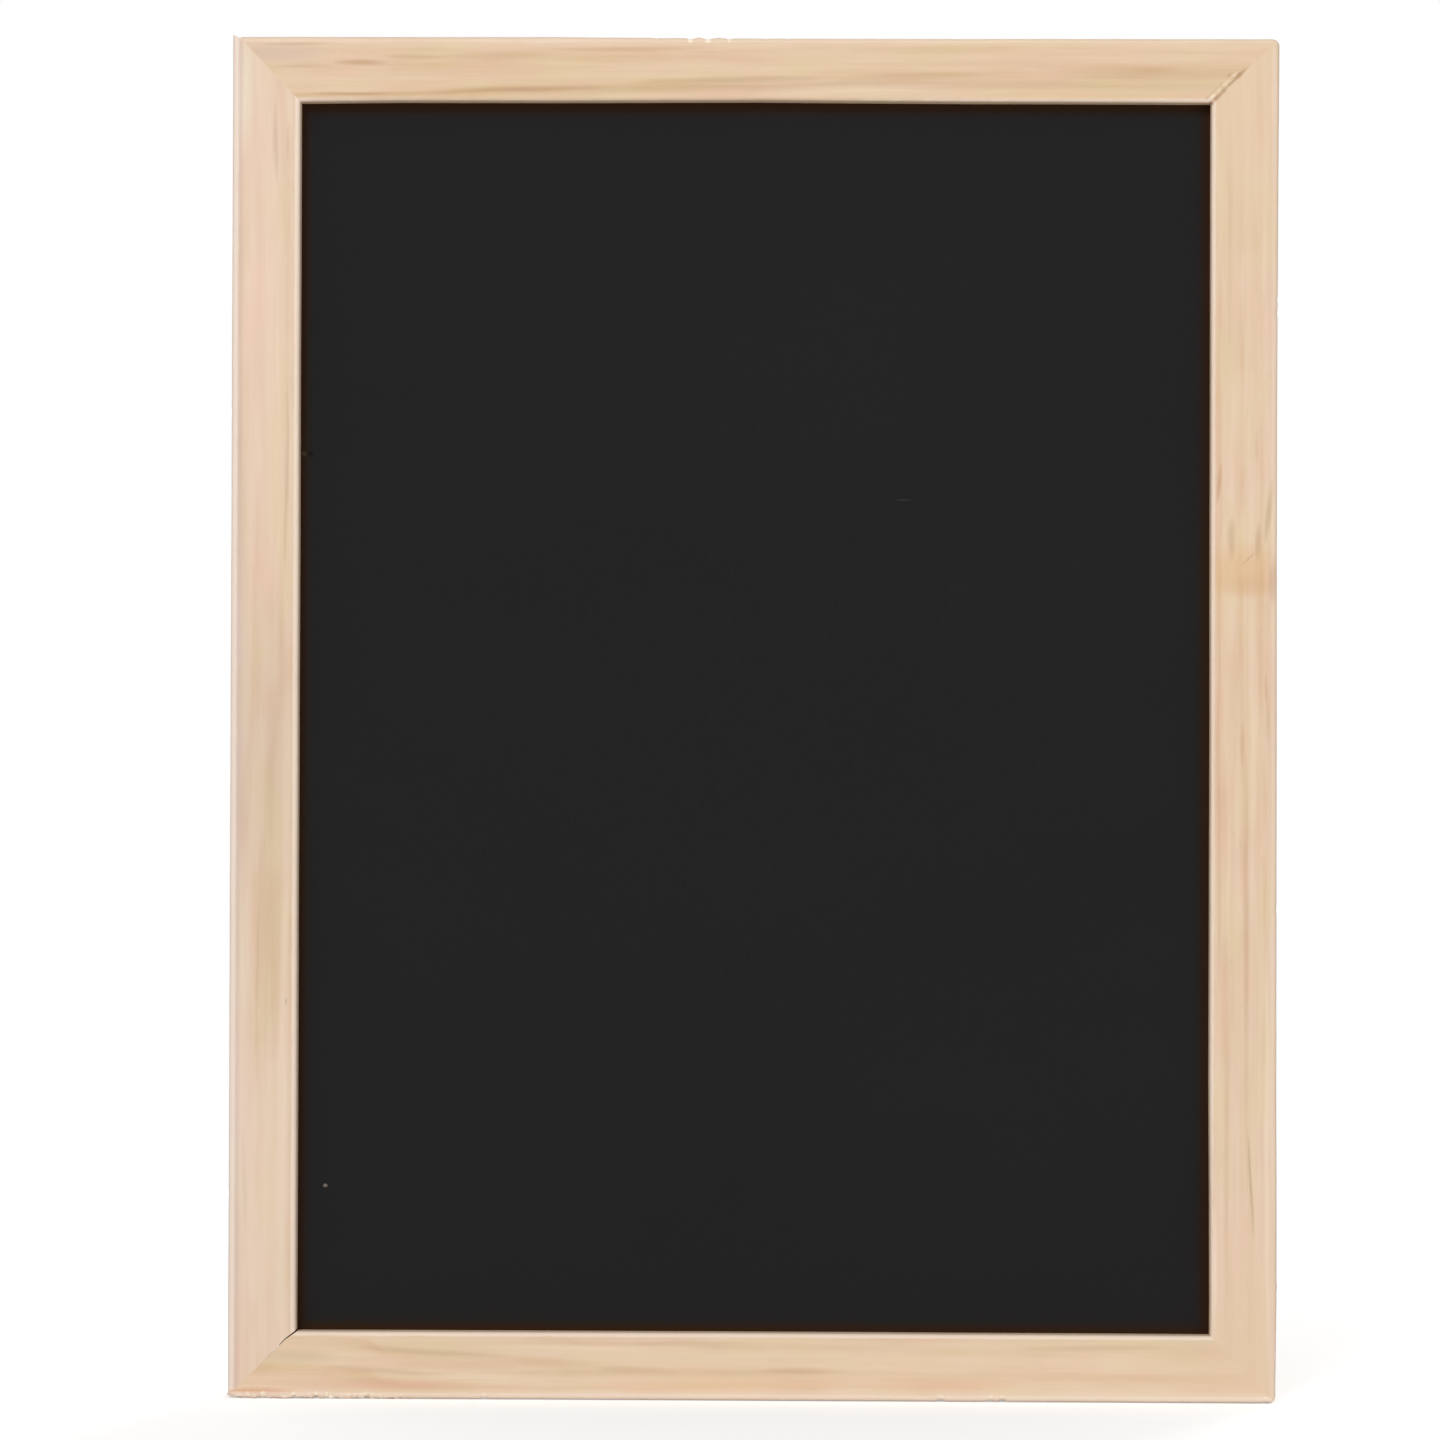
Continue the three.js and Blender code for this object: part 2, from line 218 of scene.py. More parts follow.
# The outer corner: squares round the corner become circles of the corner's radius.
square = add(tree, "CombineXYZ", {"X": from_end, "Y": from_edge})
centre = add(tree, "CombineXYZ", {"X": corner, "Y": corner})
outwards = add(tree, "VectorMath NORMALIZE", [add(tree, "VectorMath SUBTRACT", [centre, square])])
ring = add(tree, "Math SUBTRACT", [corner, add(tree, "Math MINIMUM", [from_end, from_edge])])
spoke = add(tree, "VectorMath SCALE", {0: outwards, "Scale": ring})
circle = add(tree, "VectorMath SUBTRACT", [centre, spoke])
in_corner = add(tree, "Math LESS_THAN", [add(tree, "Math MAXIMUM", [from_end, from_edge]), corner])
rounded = add(tree, "Mix VECTOR", {"Factor": in_corner, "A": square, "B": circle})
sanded = add(tree, "SeparateXYZ", [rounded])
from_middle = add(tree, "Math SUBTRACT", [half_reach, sanded.outputs["X"]])
along = add(tree, "Math MULTIPLY", [add(tree, "Math SIGN", [axes.outputs["Z"]]), from_middle])
across = add(tree, "Math SUBTRACT", [size["Width"], sanded.outputs["Y"]])

# Sanding by hand: the front arrises are worn unevenly, and no edge is quite straight, but the two
# sides of a mitre were sanded as one.
past_mitre = add(tree, "Math SUBTRACT", [sanded.outputs["X"], sanded.outputs["Y"]])
from_mitre = add(tree, "MapRange SMOOTHSTEP", {"Value": past_mitre, "From Min": 0.0, "From Max": 7 * mm})
spot = add(tree, "CombineXYZ", {"X": along, "Y": axes.outputs["Y"], "Z": across})
seeded = add(tree, "VectorMath ADD", [spot, add(tree, "CombineXYZ", {"X": size["Seed"]})])
rubbing = add(tree, "TexNoise", {"Vector": seeded, "Scale": 170, "Detail": 3.0})
drawn_out = add(tree, "VectorMath MULTIPLY", [seeded, (1, 0.2, 0.2)])
bending = add(tree, "TexNoise", {"Vector": drawn_out, "Scale": 16, "Detail": 1.0})
to_side = add(tree, "Math MINIMUM", [across, sanded.outputs["Y"]])
to_front = add(tree, "Math SUBTRACT", [axes.outputs["Y"], front])
to_arris = add(tree, "Math ADD", [to_side, to_front])
at_arris = add(tree, "MapRange SMOOTHSTEP", {"Value": to_arris, "From Min": 3 * mm, "From Max": 0.0})
wear = add(tree, "Math MULTIPLY", [add(tree, "Math MULTIPLY", [at_arris, size["Wear"]]), from_mitre])
rubbed = add(tree, "Math MULTIPLY", [wear, add(tree, "Math SUBTRACT", [rubbing, 0.3])])
inner_half = add(tree, "Math SIGN", [add(tree, "Math SUBTRACT", [sanded.outputs["Y"], across])])
waver = add(tree, "Math MULTIPLY", [size["Waver"], from_mitre])
bent = add(tree, "Math MULTIPLY_ADD", [add(tree, "Math SUBTRACT", [bending, 0.5]), waver, across])
worn_across = add(tree, "Math MULTIPLY_ADD", [rubbed, inner_half, bent])
worn_depth = add(tree, "Math ADD", [axes.outputs["Y"], rubbed])
sight = add(tree, "Math SUBTRACT", [size["Reach"], size["Width"]])
up = add(tree, "Math ADD", [worn_across, sight])
position = add(tree, "CombineXYZ", {"X": along, "Y": worn_depth, "Z": up})
length = add(tree, "SetPosition", {"Geometry": length, "Position": position})
turned = add(tree, "EulerToRotation", {"Euler": add(tree, "CombineXYZ", {"Y": size["Turn"]})})
raised = add(tree, "CombineXYZ", {"Z": size["Middle Height"]})
length = add(tree, "Transform", {"Geometry": length, "Rotation": turned, "Translation": raised})
moulding = close_tree(tree, length, size["Wood"])

# A resin streak or stain: a long lens between two places on the moulding, soft at its edges.
stain = bpy.data.node_groups.new("resin stain", "ShaderNodeTree")
for label in ("Along", "Across", "Start", "End", "Middle", "Rise", "Width"):
    stain.interface.new_socket(name=label, in_out="INPUT", socket_type="NodeSocketFloat")
stain.interface.new_socket(name="Mask", in_out="OUTPUT", socket_type="NodeSocketFloat")
lens = add(stain, "GroupInput").outputs
stage = add(stain, "MapRange", {"Value": lens["Along"], "From Min": lens["Start"], "From Max": lens["End"]})
remains = add(stain, "Math SUBTRACT", [1, stage])
swell = add(stain, "Math MULTIPLY", [add(stain, "Math MULTIPLY", [stage, remains]), 4])
fullness = add(stain, "Math SQRT", [swell])
middle_line = add(stain, "Math MULTIPLY_ADD", [stage, lens["Rise"], lens["Middle"]])
off_line = add(stain, "Math ABSOLUTE", [add(stain, "Math SUBTRACT", [lens["Across"], middle_line])])
lens_edge = add(stain, "Math ADD", [add(stain, "Math MULTIPLY", [lens["Width"], fullness]), 0.01])
soft = add(stain, "MapRange SMOOTHSTEP", {"Value": off_line, "From Min": lens_edge, "From Max": 0.0})
add(stain, "GroupOutput", {"Mask": add(stain, "Math MULTIPLY", [soft, swell])})

# Grain of each side, in millimetres: along from the middle of the side, across from the sight edge.
# line is one ring's dark edge as it wanders along the face, spacing the way to the next ring on the
# face, grows the way that the younger rings lie (1 for the outer edge), lean their angle from square
# to the face, and late their dark edge's colour. stains are (start, end, across, rise, width, tone,
# strength). The arris entry paints light on the line inside the outer arris, paler or greyer as the
# light falls on that side, and pale is how strongly the arris itself is painted pale: sanded wood with
# a painted highlight.
dark_resin, orange_resin, olive_resin = "#a87c4e", "#d9965c", "#a98f5c"
pale_wood, grey_dirt = "#f3e0cc", "#a89684"
sides = {
    "top_rail": {
        "turn": 0, "length": frame_width, "reach": middle_height,
        "Start Overrun": -1.9 * mm, "Start Corner": 0.9 * mm, "End Corner": 2.3 * mm,
        "line": [(-165, 2.6), (-141, 2.7), (-119, 2.9), (-94, 3.7), (-72, 4.6), (-51, 5.6), (-24, 6.5),
            (2, 7.2), (20, 8.3), (51, 8.3), (68, 9.0), (93, 10.6), (165, 10.6)],
        "spacing": 10.3, "grows": 1, "lean": 66, "tone": "#e1c3a5", "late": "#cfa97e",
        "stains": [(-134, -115, 12.6, 0, 1.2, dark_resin, 0.42),
            (-154, -132, 11.4, 0.4, 1.1, dark_resin, 0.22), (86, 164, 9.2, 0, 3.4, dark_resin, 0.24),
            (-42, 30, 6.4, 1.6, 1.8, dark_resin, 0.34), (22, 78, 7.4, 1.2, 1.8, dark_resin, 0.26),
            (-104, -44, 2.9, 2.0, 1.6, dark_resin, 0.36), (-142, -113, 2.7, 0.1, 0.9, "#b07f5e", 0.42),
            (-158, -134, 18.2, 0.3, 0.9, dark_resin, 0.3), (-119, -96, 14.2, 0.1, 1.3, dark_resin, 0.26),
            (-101, -60, 14.6, 0.5, 1.8, dark_resin, 0.2), (-66, -10, 16.8, 0.6, 1.5, "#c79b78", 0.4),
            (-14, 64, 3.4, 1.5, 1.9, pale_wood, 0.25), (56, 154, 1.6, 0.4, 1.8, orange_resin, 0.12),
            (-120, 60, 2.6, 3.6, 2.8, dark_resin, 0.25), (0, 190, 6.2, -1.6, 2.6, dark_resin, 0.2),
            (-156, -92, 2.2, 0.4, 1.4, dark_resin, 0.18), (-172, -132, 15.4, 0, 5.0, "#cbada5", 0.4)],
        "arris": ("#f8e3cb", 0.12), "pale": 0.28,
    },
    "right_stile": {
        "turn": 1, "length": frame_height, "reach": frame_width / 2,
        "Start Corner": 2.3 * mm, "End Corner": 2.2 * mm,
        "line": [(-215, 9.4), (-150, 9.6), (-90, 9.8), (-30, 9.9), (1, 10.1), (19, 10.9), (64, 11.2),
            (100, 11.6), (132, 11.9), (160, 13.2), (215, 13.8)],
        "spacing": 6.4, "grows": 1, "lean": 52, "tone": "#e4c9ae", "late": "#d4ae88",
        "stains": [(126, 166, 12.3, 1.5, 0.75, "#93804f", 0.55),
            (10, 145, 11.0, 0.8, 1.5, dark_resin, 0.24), (88, 199, 5.5, -0.6, 1.2, dark_resin, 0.22),
            (-56, -37, 9, 1, 30, "#d9a264", 0.34), (-77, -54, 19.5, -2.4, 1.4, olive_resin, 0.46),
            (-62, -49, 15.4, -0.5, 1.6, "#b08f68", 0.42),
            (-52.6, -48.4, 14.3, -4.2, 0.7, olive_resin, 0.45),
            (-64, -49, 6.6, 0.2, 1.9, dark_resin, 0.36), (-81, -67, 3.4, -1.6, 1.3, "#b5835a", 0.48),
            (-46, -38, 12, 0, 12, "#c49468", 0.22), (-51, -35, 19.6, 0, 1.9, dark_resin, 0.5),
            (-92, -80, 14, 0, 1.2, dark_resin, 0.16), (-15, -4, 17.8, 0, 0.9, "#b06a3a", 0.25),
            (-11, 9, 18.4, 0, 0.9, dark_resin, 0.2), (0, 16, 9.9, 0, 1.0, dark_resin, 0.2),
            (-175, -145, 5.5, 0.2, 1.2, dark_resin, 0.14), (90, 250, 9, 0, 16, "#edd3ba", 0.3),
            (-290, -140, 8, 0, 18, "#e4cbaa", 0.6), (155, 270, 9, 0, 18, "#e4c7aa", 0.75),
            (70, 215, 18.0, 0, 1.4, "#fbead6", 0.5), (-200, -70, 5.2, 0, 2.6, "#d2b78c", 0.3),
            (-40, 90, 2.7, 0, 1.2, "#c99f7c", 0.35), (-36, 30, 7.4, 0, 3.2, "#cfae84", 0.22),
            (150, 196, 1.6, 0, 1.2, "#fbe6d6", 0.5)],
        "arris": ("#d9bca3", 0.25), "pale": 0.2,
    },
    "bottom_rail": {
        "turn": 2, "length": frame_width, "reach": middle_height,
        "Start Corner": 2.2 * mm, "End Corner": 0.8 * mm, "End Overrun": 0.724 * mm,
        "End Open Joint": 0.4 * mm,
        "line": [(-165, 12.7), (-103, 12.6), (-39, 12.6), (-14, 12.0), (29, 11.7), (42, 11.0), (80, 8.2),
            (95, 7.6), (115, 6.0), (122, 2.8), (165, -4)],
        "spacing": 8.8, "grows": -1, "lean": 60, "tone": "#e8cdb0", "late": "#d7b289",
        "stains": [(26, 50, 11.2, 0, 1.7, olive_resin, 0.26), (-30, -1, 11.8, 0, 1.5, "#a9825c", 0.32),
            (-152, -124, 1.8, 0, 2.2, "#d6caa6", 0.55), (-88, -32, 15.8, 0.4, 3.6, orange_resin, 0.34),
            (-40, 62, 15.6, 1, 4.2, "#e0ab78", 0.32), (74, 126, 8.0, -3.6, 1.7, dark_resin, 0.26),
            (84, 134, 16.6, 0, 2.8, "#e2ac98", 0.42), (95, 137, 14.0, -3.6, 1.8, dark_resin, 0.2),
            (-4, 46, 2.8, 0, 1.2, dark_resin, 0.18), (-138, -78, 3.8, 0.4, 1.5, dark_resin, 0.2),
            (56, 116, 13.6, 1.4, 2.2, pale_wood, 0.2), (142, 171, 18.7, 0, 2.0, "#cf8348", 0.8),
            (-170, 90, 10, 0, 15, "#f4dbbb", 0.36), (-215, -118, 10, 0, 18, "#e4c7aa", 0.7),
            (10, 90, 4.6, 0, 1.8, "#f6dfc6", 0.5), (-50, 100, 12.0, 0.6, 2.4, "#c9a272", 0.28),
            (128, 162, 7.6, 0, 3.6, "#c2a991", 0.35), (76, 142, 19.4, 0, 2.2, "#d2b478", 0.35)],
        "arris": ("#efdac4", 0.3), "pale": 0.5,
    },
    "left_stile": {
        "turn": 3, "length": frame_height, "reach": frame_width / 2,
        "Start Corner": 0.5 * mm, "End Corner": 0.3 * mm, "Start Overrun": -0.7 * mm, "End Overrun": 2.1 * mm,
        "Start Open Joint": 0.4 * mm,
        "line": [(-215, 11.6), (-136, 11.8), (-110, 11.8), (-96, 12.1), (-62, 12.1), (-36, 10.0),
            (-15, 8.0), (9, 5.2), (37, 4.7), (50, 3.9), (106, 3.6), (160, 4.2), (215, 7.5)],
        "spacing": 9.0, "grows": 1, "lean": 62, "tone": "#e4cbb2", "late": "#d2b08d",
        "stains": [(-44, 16, 8.2, -1.2, 4.4, dark_resin, 0.14), (-112, -40, 7.4, 0, 6.0, "#cbb486", 0.42),
            (-108, -50, 11.8, 0.2, 1.0, dark_resin, 0.16), (167, 196, 7.1, 0.2, 1.2, dark_resin, 0.4),
            (174, 188, 3.3, 0, 0.9, dark_resin, 0.2), (44, 112, 3.6, 0, 1.0, dark_resin, 0.3),
            (-164, -128, 16.2, 0, 1.3, dark_resin, 0.22), (-62, -44, 8, 0, 13, orange_resin, 0.1),
            (20, 250, 11, 1, 12, "#eecfbd", 0.5), (-91.5, -88.5, 2.7, 0, 0.6, grey_dirt, 0.7),
            (-260, -90, 10, 0, 16, "#f0d5c3", 0.36), (-76, 44, 9, 0, 17, "#c8b39d", 0.34),
            (-96, 112, 18.2, 0, 4.6, "#c2aea6", 0.36), (-215, -35, 3.6, 0, 2.4, "#efdcc8", 0.5),
            (-205, -35, 16.6, 0, 6.0, "#eeddd2", 0.3), (176, 224, 16.4, 0, 4.2, "#efebd7", 0.4)],
        "arris": ("#cdb6ad", 0.42), "pale": 0.62,
    },
}


def new_material(name):
    """A material with an empty tree, and the tree."""
    material = bpy.data.materials.new(name)
    material.use_nodes = True
    material.node_tree.nodes.clear()
    return material, material.node_tree


def tinted(tree, colour, value, start, full, tone, strength, shape="LINEAR"):
    """A colour with a tone laid over it, more and more as a value goes from start to full."""
    amount = add(tree, f"MapRange {shape}", {
        "Value": value, "From Min": start, "From Max": full, "To Max": strength})
    return add(tree, "Mix RGBA", {"Factor": amount, "A": colour, "B": linear(tone)})


def surface(tree, relief, strength, height, looks):
    """Ends a material in a surface of these looks, with a relief of this height in metres."""
    bump = add(tree, "Bump", {"Strength": strength, "Distance": height, "Height": relief})
    shader = add(tree, "BsdfPrincipled", {**looks, "Normal": bump})
    add(tree, "OutputMaterial", {"Surface": shader})


def planed_pine(name, side, seed):
    """Planed pine: pale earlywood with wide, soft growth rings that darken slowly and end sharply,
    fine fibre lines, scattered resin canals and pinkish and yellowish clouds. Satin, not varnished."""
    wood, tree = new_material(name)
    turned = add(tree, "Mapping TEXTURE", {
        "Vector": add(tree, "TexCoord").outputs["Object"], "Location": (0, 0, middle_height),
        "Rotation": (0, side["turn"] * quarter_turn, 0)})
    board = add(tree, "Mapping", {
        "Vector": turned, "Location": (0, 0, -(side["reach"] - moulding_width) / mm),
        "Scale": (1 / mm, 1 / mm, 1 / mm)})
    axes = add(tree, "SeparateXYZ", [board])
    along, depth, across = axes.outputs

    # Noise stretched along the grain: each size is a length along, a depth and a width across.
    clouds = {}
    for label, stretch, detail in (("wander", (60, 30, 14), 2.0), ("clouds", (34, 16, 9), 3.0),
                                   ("tint", (40, 18, 9), 2.0), ("bands", (90, 6, 3.2), 2.0),
                                   ("fibre", (22, 0.7, 0.36), 3.0), ("canals", (4.5, 0.5, 0.3), 1.0),
                                   ("strength", (26, 12, 6), 2.0)):
        spread = add(tree, "Mapping", {
            "Vector": board, "Location": (seed * 7.3, seed * 3.1, seed * 5.7 + stretch[2]),
            "Scale": tuple(1 / length for length in stretch)})
        clouds[label] = add(tree, "TexNoise", {
            "Vector": spread, "Scale": 1.0, "Detail": detail, "Roughness": 0.55}).outputs["Fac"]

    # Growth rings: circles round a pith that lies behind the back of the board, moved so that one
    # ring's edge follows the side's line.
    run_length = 440.0
    face_height = 20.0
    line = add(tree, "FloatCurve", {"Value": add(tree, "Math MULTIPLY_ADD", [along, 1 / run_length, 0.5])})
    curve = line.mapping.curves[0]
    places = [(a / run_length + 0.5, max(c, 0) / face_height) for a, c in sorted(side["line"])]
    places = [(0, places[0][1]), *places, (1, places[-1][1])]
    curve.points[0].location, curve.points[1].location = places[0], places[-1]
    for place in places[1:-1]:
        curve.points.new(*place)
    line.mapping.update()
    wander = add(tree, "Math MULTIPLY_ADD", [clouds["wander"], 3.0, -1.5])
    wandered = add(tree, "Math ADD", [across, wander])
    off_line = add(tree, "Math MULTIPLY_ADD", [line, -face_height, wandered])
    pith_distance = 55.0
    lean = math.radians(side["lean"])
    beside = add(tree, "Math MULTIPLY_ADD", [off_line, side["grows"], pith_distance * math.cos(lean)])
    before = add(tree, "Math MULTIPLY_ADD", [depth, -1, pith_distance * math.sin(lean) + front_face / mm])
    from_pith = add(tree, "VectorMath LENGTH", [add(tree, "CombineXYZ", {"X": beside, "Y": before})])
    ring_width = side["spacing"] * math.cos(lean)
    rings = add(tree, "Math MULTIPLY_ADD", [from_pith, 1 / ring_width, -pith_distance / ring_width])
    season = add(tree, "ValToRGB", [add(tree, "Math FRACT", [rings])])
    ramp = season.color_ramp
    for place, value in ((0.1, 0.36), (0.22, 0.05), (0.5, 0.04), (0.72, 0.22), (0.9, 0.6)):
        ramp.elements.new(place).color = (value, value, value, 1)
    ramp.elements[0].color = ramp.elements[-1].color = (0.7, 0.7, 0.7, 1)
    faded = add(tree, "MapRange", {
        "Value": clouds["strength"], "From Min": 0.36, "From Max": 0.68, "To Min": 0.2, "To Max": 0.85})
    late = add(tree, "Math MULTIPLY", [season, faded])

    colour = add(tree, "Mix RGBA", {"Factor": late, "A": linear(side["tone"]), "B": linear(side["late"])})
    for label, low, high, tone, strength in (
            ("bands", 0.45, 0.75, "#c79b6c", 0.16), ("bands", 0.55, 0.28, "#f2e2cd", 0.18),
            ("tint", 0.5, 0.7, "#e6baa4", 0.36), ("tint", 0.5, 0.3, "#dfcc9c", 0.38),
            ("clouds", 0.5, 0.78, "#cfae8a", 0.3), ("fibre", 0.5, 0.82, "#b98d5e", 0.11),
            ("fibre", 0.46, 0.2, "#f6e8d4", 0.1), ("canals", 0.7, 0.82, "#96683c", 0.18)):
        colour = tinted(tree, colour, clouds[label], low, high, tone, strength)
    for start, end, place, rise, width, tone, strength in side["stains"]:
        mask = add(tree, "Group", {
            "Along": along, "Across": wandered, "Start": start, "End": end, "Middle": place, "Rise": rise,
            "Width": width}, node_tree=stain)
        amount = add(tree, "Math MULTIPLY", [mask, strength])
        colour = add(tree, "Mix RGBA", {"Factor": amount, "A": colour, "B": linear(tone)})

    # The arrises are painted pale: sanded wood, with a painted highlight where the rounded arris catches
    # the light. The line inside the outer arris is painted light that is each side's own, paler or greyer
    # as the light falls on that side, and a faint greyer line lies inside the pale sight arris.
    width = moulding_width / mm
    from_front = add(tree, "Math ADD", [depth, moulding_depth / 2 / mm])
    uneven_front = add(tree, "Math MULTIPLY_ADD", [clouds["canals"], 0.5, from_front])
    to_outer = add(tree, "Math SUBTRACT", [width, across])
    for side_distance, near, far, tone, strength in (
            (to_outer, 2.8, 4.2, *side["arris"]), (to_outer, 1.8, 2.8, "#f7e7da", side["pale"]),
            (across, 1.6, 2.4, "#d3b8a4", 0.12), (across, 1.1, 1.8, "#f4e0cf", 0.74)):
        from_arris = add(tree, "Math ADD", [uneven_front, side_distance])
        colour = tinted(tree, colour, from_arris, far, near, tone, strength, "SMOOTHSTEP")
    # Painted shade: where the outer arris turns away to the side, out of the light, it is painted greyer. The
    # painted shade fades towards the wall.
    past_arris = add(tree, "Math SUBTRACT", [uneven_front, to_outer])
    turned_away_shade = add(tree, "MapRange SMOOTHSTEP", {
        "Value": past_arris, "From Min": 0.2, "From Max": 0.9, "To Max": 0.34})
    shade_fade_to_back = add(tree, "MapRange SMOOTHSTEP", {
        "Value": uneven_front, "From Min": 1.0, "From Max": 9.0, "To Min": 1.0, "To Max": 0.12})
    amount = add(tree, "Math MULTIPLY", [turned_away_shade, shade_fade_to_back])
    colour = add(tree, "Mix RGBA", {"Factor": amount, "A": colour, "B": linear("#a88c74")})
    # Torn fibres are painted pale with a painted highlight, and the split gets painted shade and shadow.
    for damage, tone, strength in (("painted_split_shade", "#a8835c", 0.7), ("torn_with_glint", "#fff0da", 0.95)):
        marked = add(tree, "Attribute", attribute_name=damage).outputs["Fac"]
        amount = add(tree, "Math MULTIPLY", [marked, strength])
        colour = add(tree, "Mix RGBA", {"Factor": amount, "A": colour, "B": linear(tone)})

    roughness = add(tree, "MapRange", {
        "Value": clouds["fibre"], "From Min": 0.3, "From Max": 0.7, "To Min": 0.52, "To Max": 0.66})
    relief = add(tree, "Math MULTIPLY_ADD", [late, 0.6, clouds["fibre"]])
    surface(tree, relief, 0.3, 0.05 * mm, {
        "Base Color": colour, "Roughness": roughness, "Specular IOR Level": 0.35})
    return wood


mouldings = {}
for number, (node, side) in enumerate(sides.items()):
    facts = {key: value for key, value in side.items() if key[0].isupper()}
    mouldings[node] = made_by(moulding, f"{node}_pine", {
        **facts, "Length": side["length"], "Reach": side["reach"], "Turn": side["turn"] * quarter_turn,
        "Seed": 3.7 * number, "Wood": planed_pine(f"planed pine {node}", side, number + 1)})


# Corner wedges
# Eight V-shaped nails of zinc-plated steel strip, pressed across the mitres from the back. Their
# rolled ends pull the two sides together, and their tops stay just under the wood's surface.
wedge_sizes = {
    "Leg": 5.2 * mm, "Curl": 0.9 * mm, "Bend": 0.8 * mm, "Gauge": 0.6 * mm, "Height": 9 * mm,
    "Top": back_face - 0.3 * mm, "Outer Inset": 4 * mm, "Inner Inset": 10.5 * mm,
    "Frame Width": frame_width, "Frame Height": frame_height, "Middle Height": middle_height, "Steel": None}
tree, size = open_tree("corner wedges", wedge_sizes)
far = add(tree, "Math MULTIPLY", [add(tree, "Math ADD", [size["Leg"], size["Curl"]]), -1])
curl = add(tree, "Math MULTIPLY", [size["Curl"], -1])
strip = outline(tree, [(far, curl), (far, 0), (0, 0), (0, far), (curl, far)],
                [0, size["Curl"], size["Bend"], size["Curl"], 0], steps=6, closed=False)
edge = add(tree, "CurvePrimitiveQuadrilateral", {"Width": size["Gauge"], "Height": size["Height"]})
edge = add(tree, "FilletCurve POLY", {"Curve": edge, "Count": 2, "Radius": 0.08 * mm})
wedge = add(tree, "CurveToMesh", {"Curve": strip, "Profile Curve": edge, "Fill Caps": True})
sunk = add(tree, "Math MULTIPLY_ADD", [size["Height"], -0.5, size["Top"]])
wedge = add(tree, "Transform", {
    "Geometry": wedge, "Rotation": (quarter_turn, 0, 0), "Translation": add(tree, "CombineXYZ", {"Y": sunk})})
# Two wedges to a corner, an outer and an inner one. The corners are numbered clockwise from the top
# right, so that a corner's number is also its quarter turns.
index = add(tree, "InputIndex")
corner_number = add(tree, "Math FLOOR", [add(tree, "Math MULTIPLY", [index, 0.5])])
inner = add(tree, "Math MODULO", [index, 2])
inset = add(tree, "Mix", {"Factor": inner, "A": size["Outer Inset"], "B": size["Inner Inset"]})
on_right = add(tree, "Math SIGN", [add(tree, "Math SUBTRACT", [1.5, corner_number])])
from_first = add(tree, "Math ABSOLUTE", [add(tree, "Math SUBTRACT", [corner_number, 1.5])])
on_top = add(tree, "Math SIGN", [add(tree, "Math SUBTRACT", [from_first, 1])])
out, up = (add(tree, "Math SUBTRACT", [add(tree, "Math MULTIPLY", [size[span], 0.5]), inset])
           for span in ("Frame Width", "Frame Height"))
place = add(tree, "CombineXYZ", {
    "X": add(tree, "Math MULTIPLY", [out, on_right]),
    "Z": add(tree, "Math MULTIPLY_ADD", [up, on_top, size["Middle Height"]])})
corners = add(tree, "Points", {"Count": 8, "Position": place})
turn = add(tree, "CombineXYZ", {"Y": add(tree, "Math MULTIPLY", [corner_number, quarter_turn])})
placed = add(tree, "InstanceOnPoints", {
    "Points": corners, "Instance": wedge, "Rotation": add(tree, "EulerToRotation", {"Euler": turn})})
wedges = close_tree(tree, placed, size["Steel"])


def plated_steel(name, bright, worn, roughness, spangle):
    """Thin plating on pressed steel strip: a dull metal with a fine mottle where the bath left
    crystals, drawn coarser than it is so that it shows, and greyer rubbed places."""
    plating, tree = new_material(name)
    place = add(tree, "TexCoord").outputs["Object"]
    crystals = add(tree, "TexVoronoi", {"Vector": place, "Scale": 1 / spangle})
    rubbed = add(tree, "TexNoise", {"Vector": place, "Scale": 420, "Detail": 4.0})
    stretched = add(tree, "Mapping", {"Vector": place, "Scale": (300, 6000, 6000)})
    drawn = add(tree, "TexNoise", {"Vector": stretched, "Scale": 1.0, "Detail": 2.0})
    colour = tinted(tree, linear(bright), rubbed, 0.5, 0.72, worn, 0.8)
    speckled = tinted(tree, colour, crystals.outputs["Color"], 0.0, 1.0, "#6f6d68", 0.25)
    dulled = add(tree, "MapRange", {
        "Value": rubbed, "From Min": 0.3, "From Max": 0.7, "To Min": roughness, "To Max": roughness + 0.16})
    surface(tree, drawn, 0.3, 0.02 * mm, {"Base Color": speckled, "Metallic": 1.0, "Roughness": dulled})
    return plating


zinc = plated_steel("zinc plated steel strip", "#b9bbbb", "#8f8f8c", 0.32, 0.5 * mm)
wedge_slack = 0.06 * mm
corner_wedges = made_by(wedges, "corner_wedges_steel", {"Steel": zinc})
wedge_pockets = made_by(wedges, "wedge_pockets", {
    "Gauge": wedge_sizes["Gauge"] + 2 * wedge_slack, "Top": back_face + 1 * mm,
    "Height": wedge_sizes["Height"] + 1.3 * mm + wedge_slack})
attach(corner_wedges, "root")
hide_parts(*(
    f"corner_wedge_{corner}_{place}" for corner in ("top_right", "bottom_right", "bottom_left", "top_left")
    for place in ("outer", "inner")))


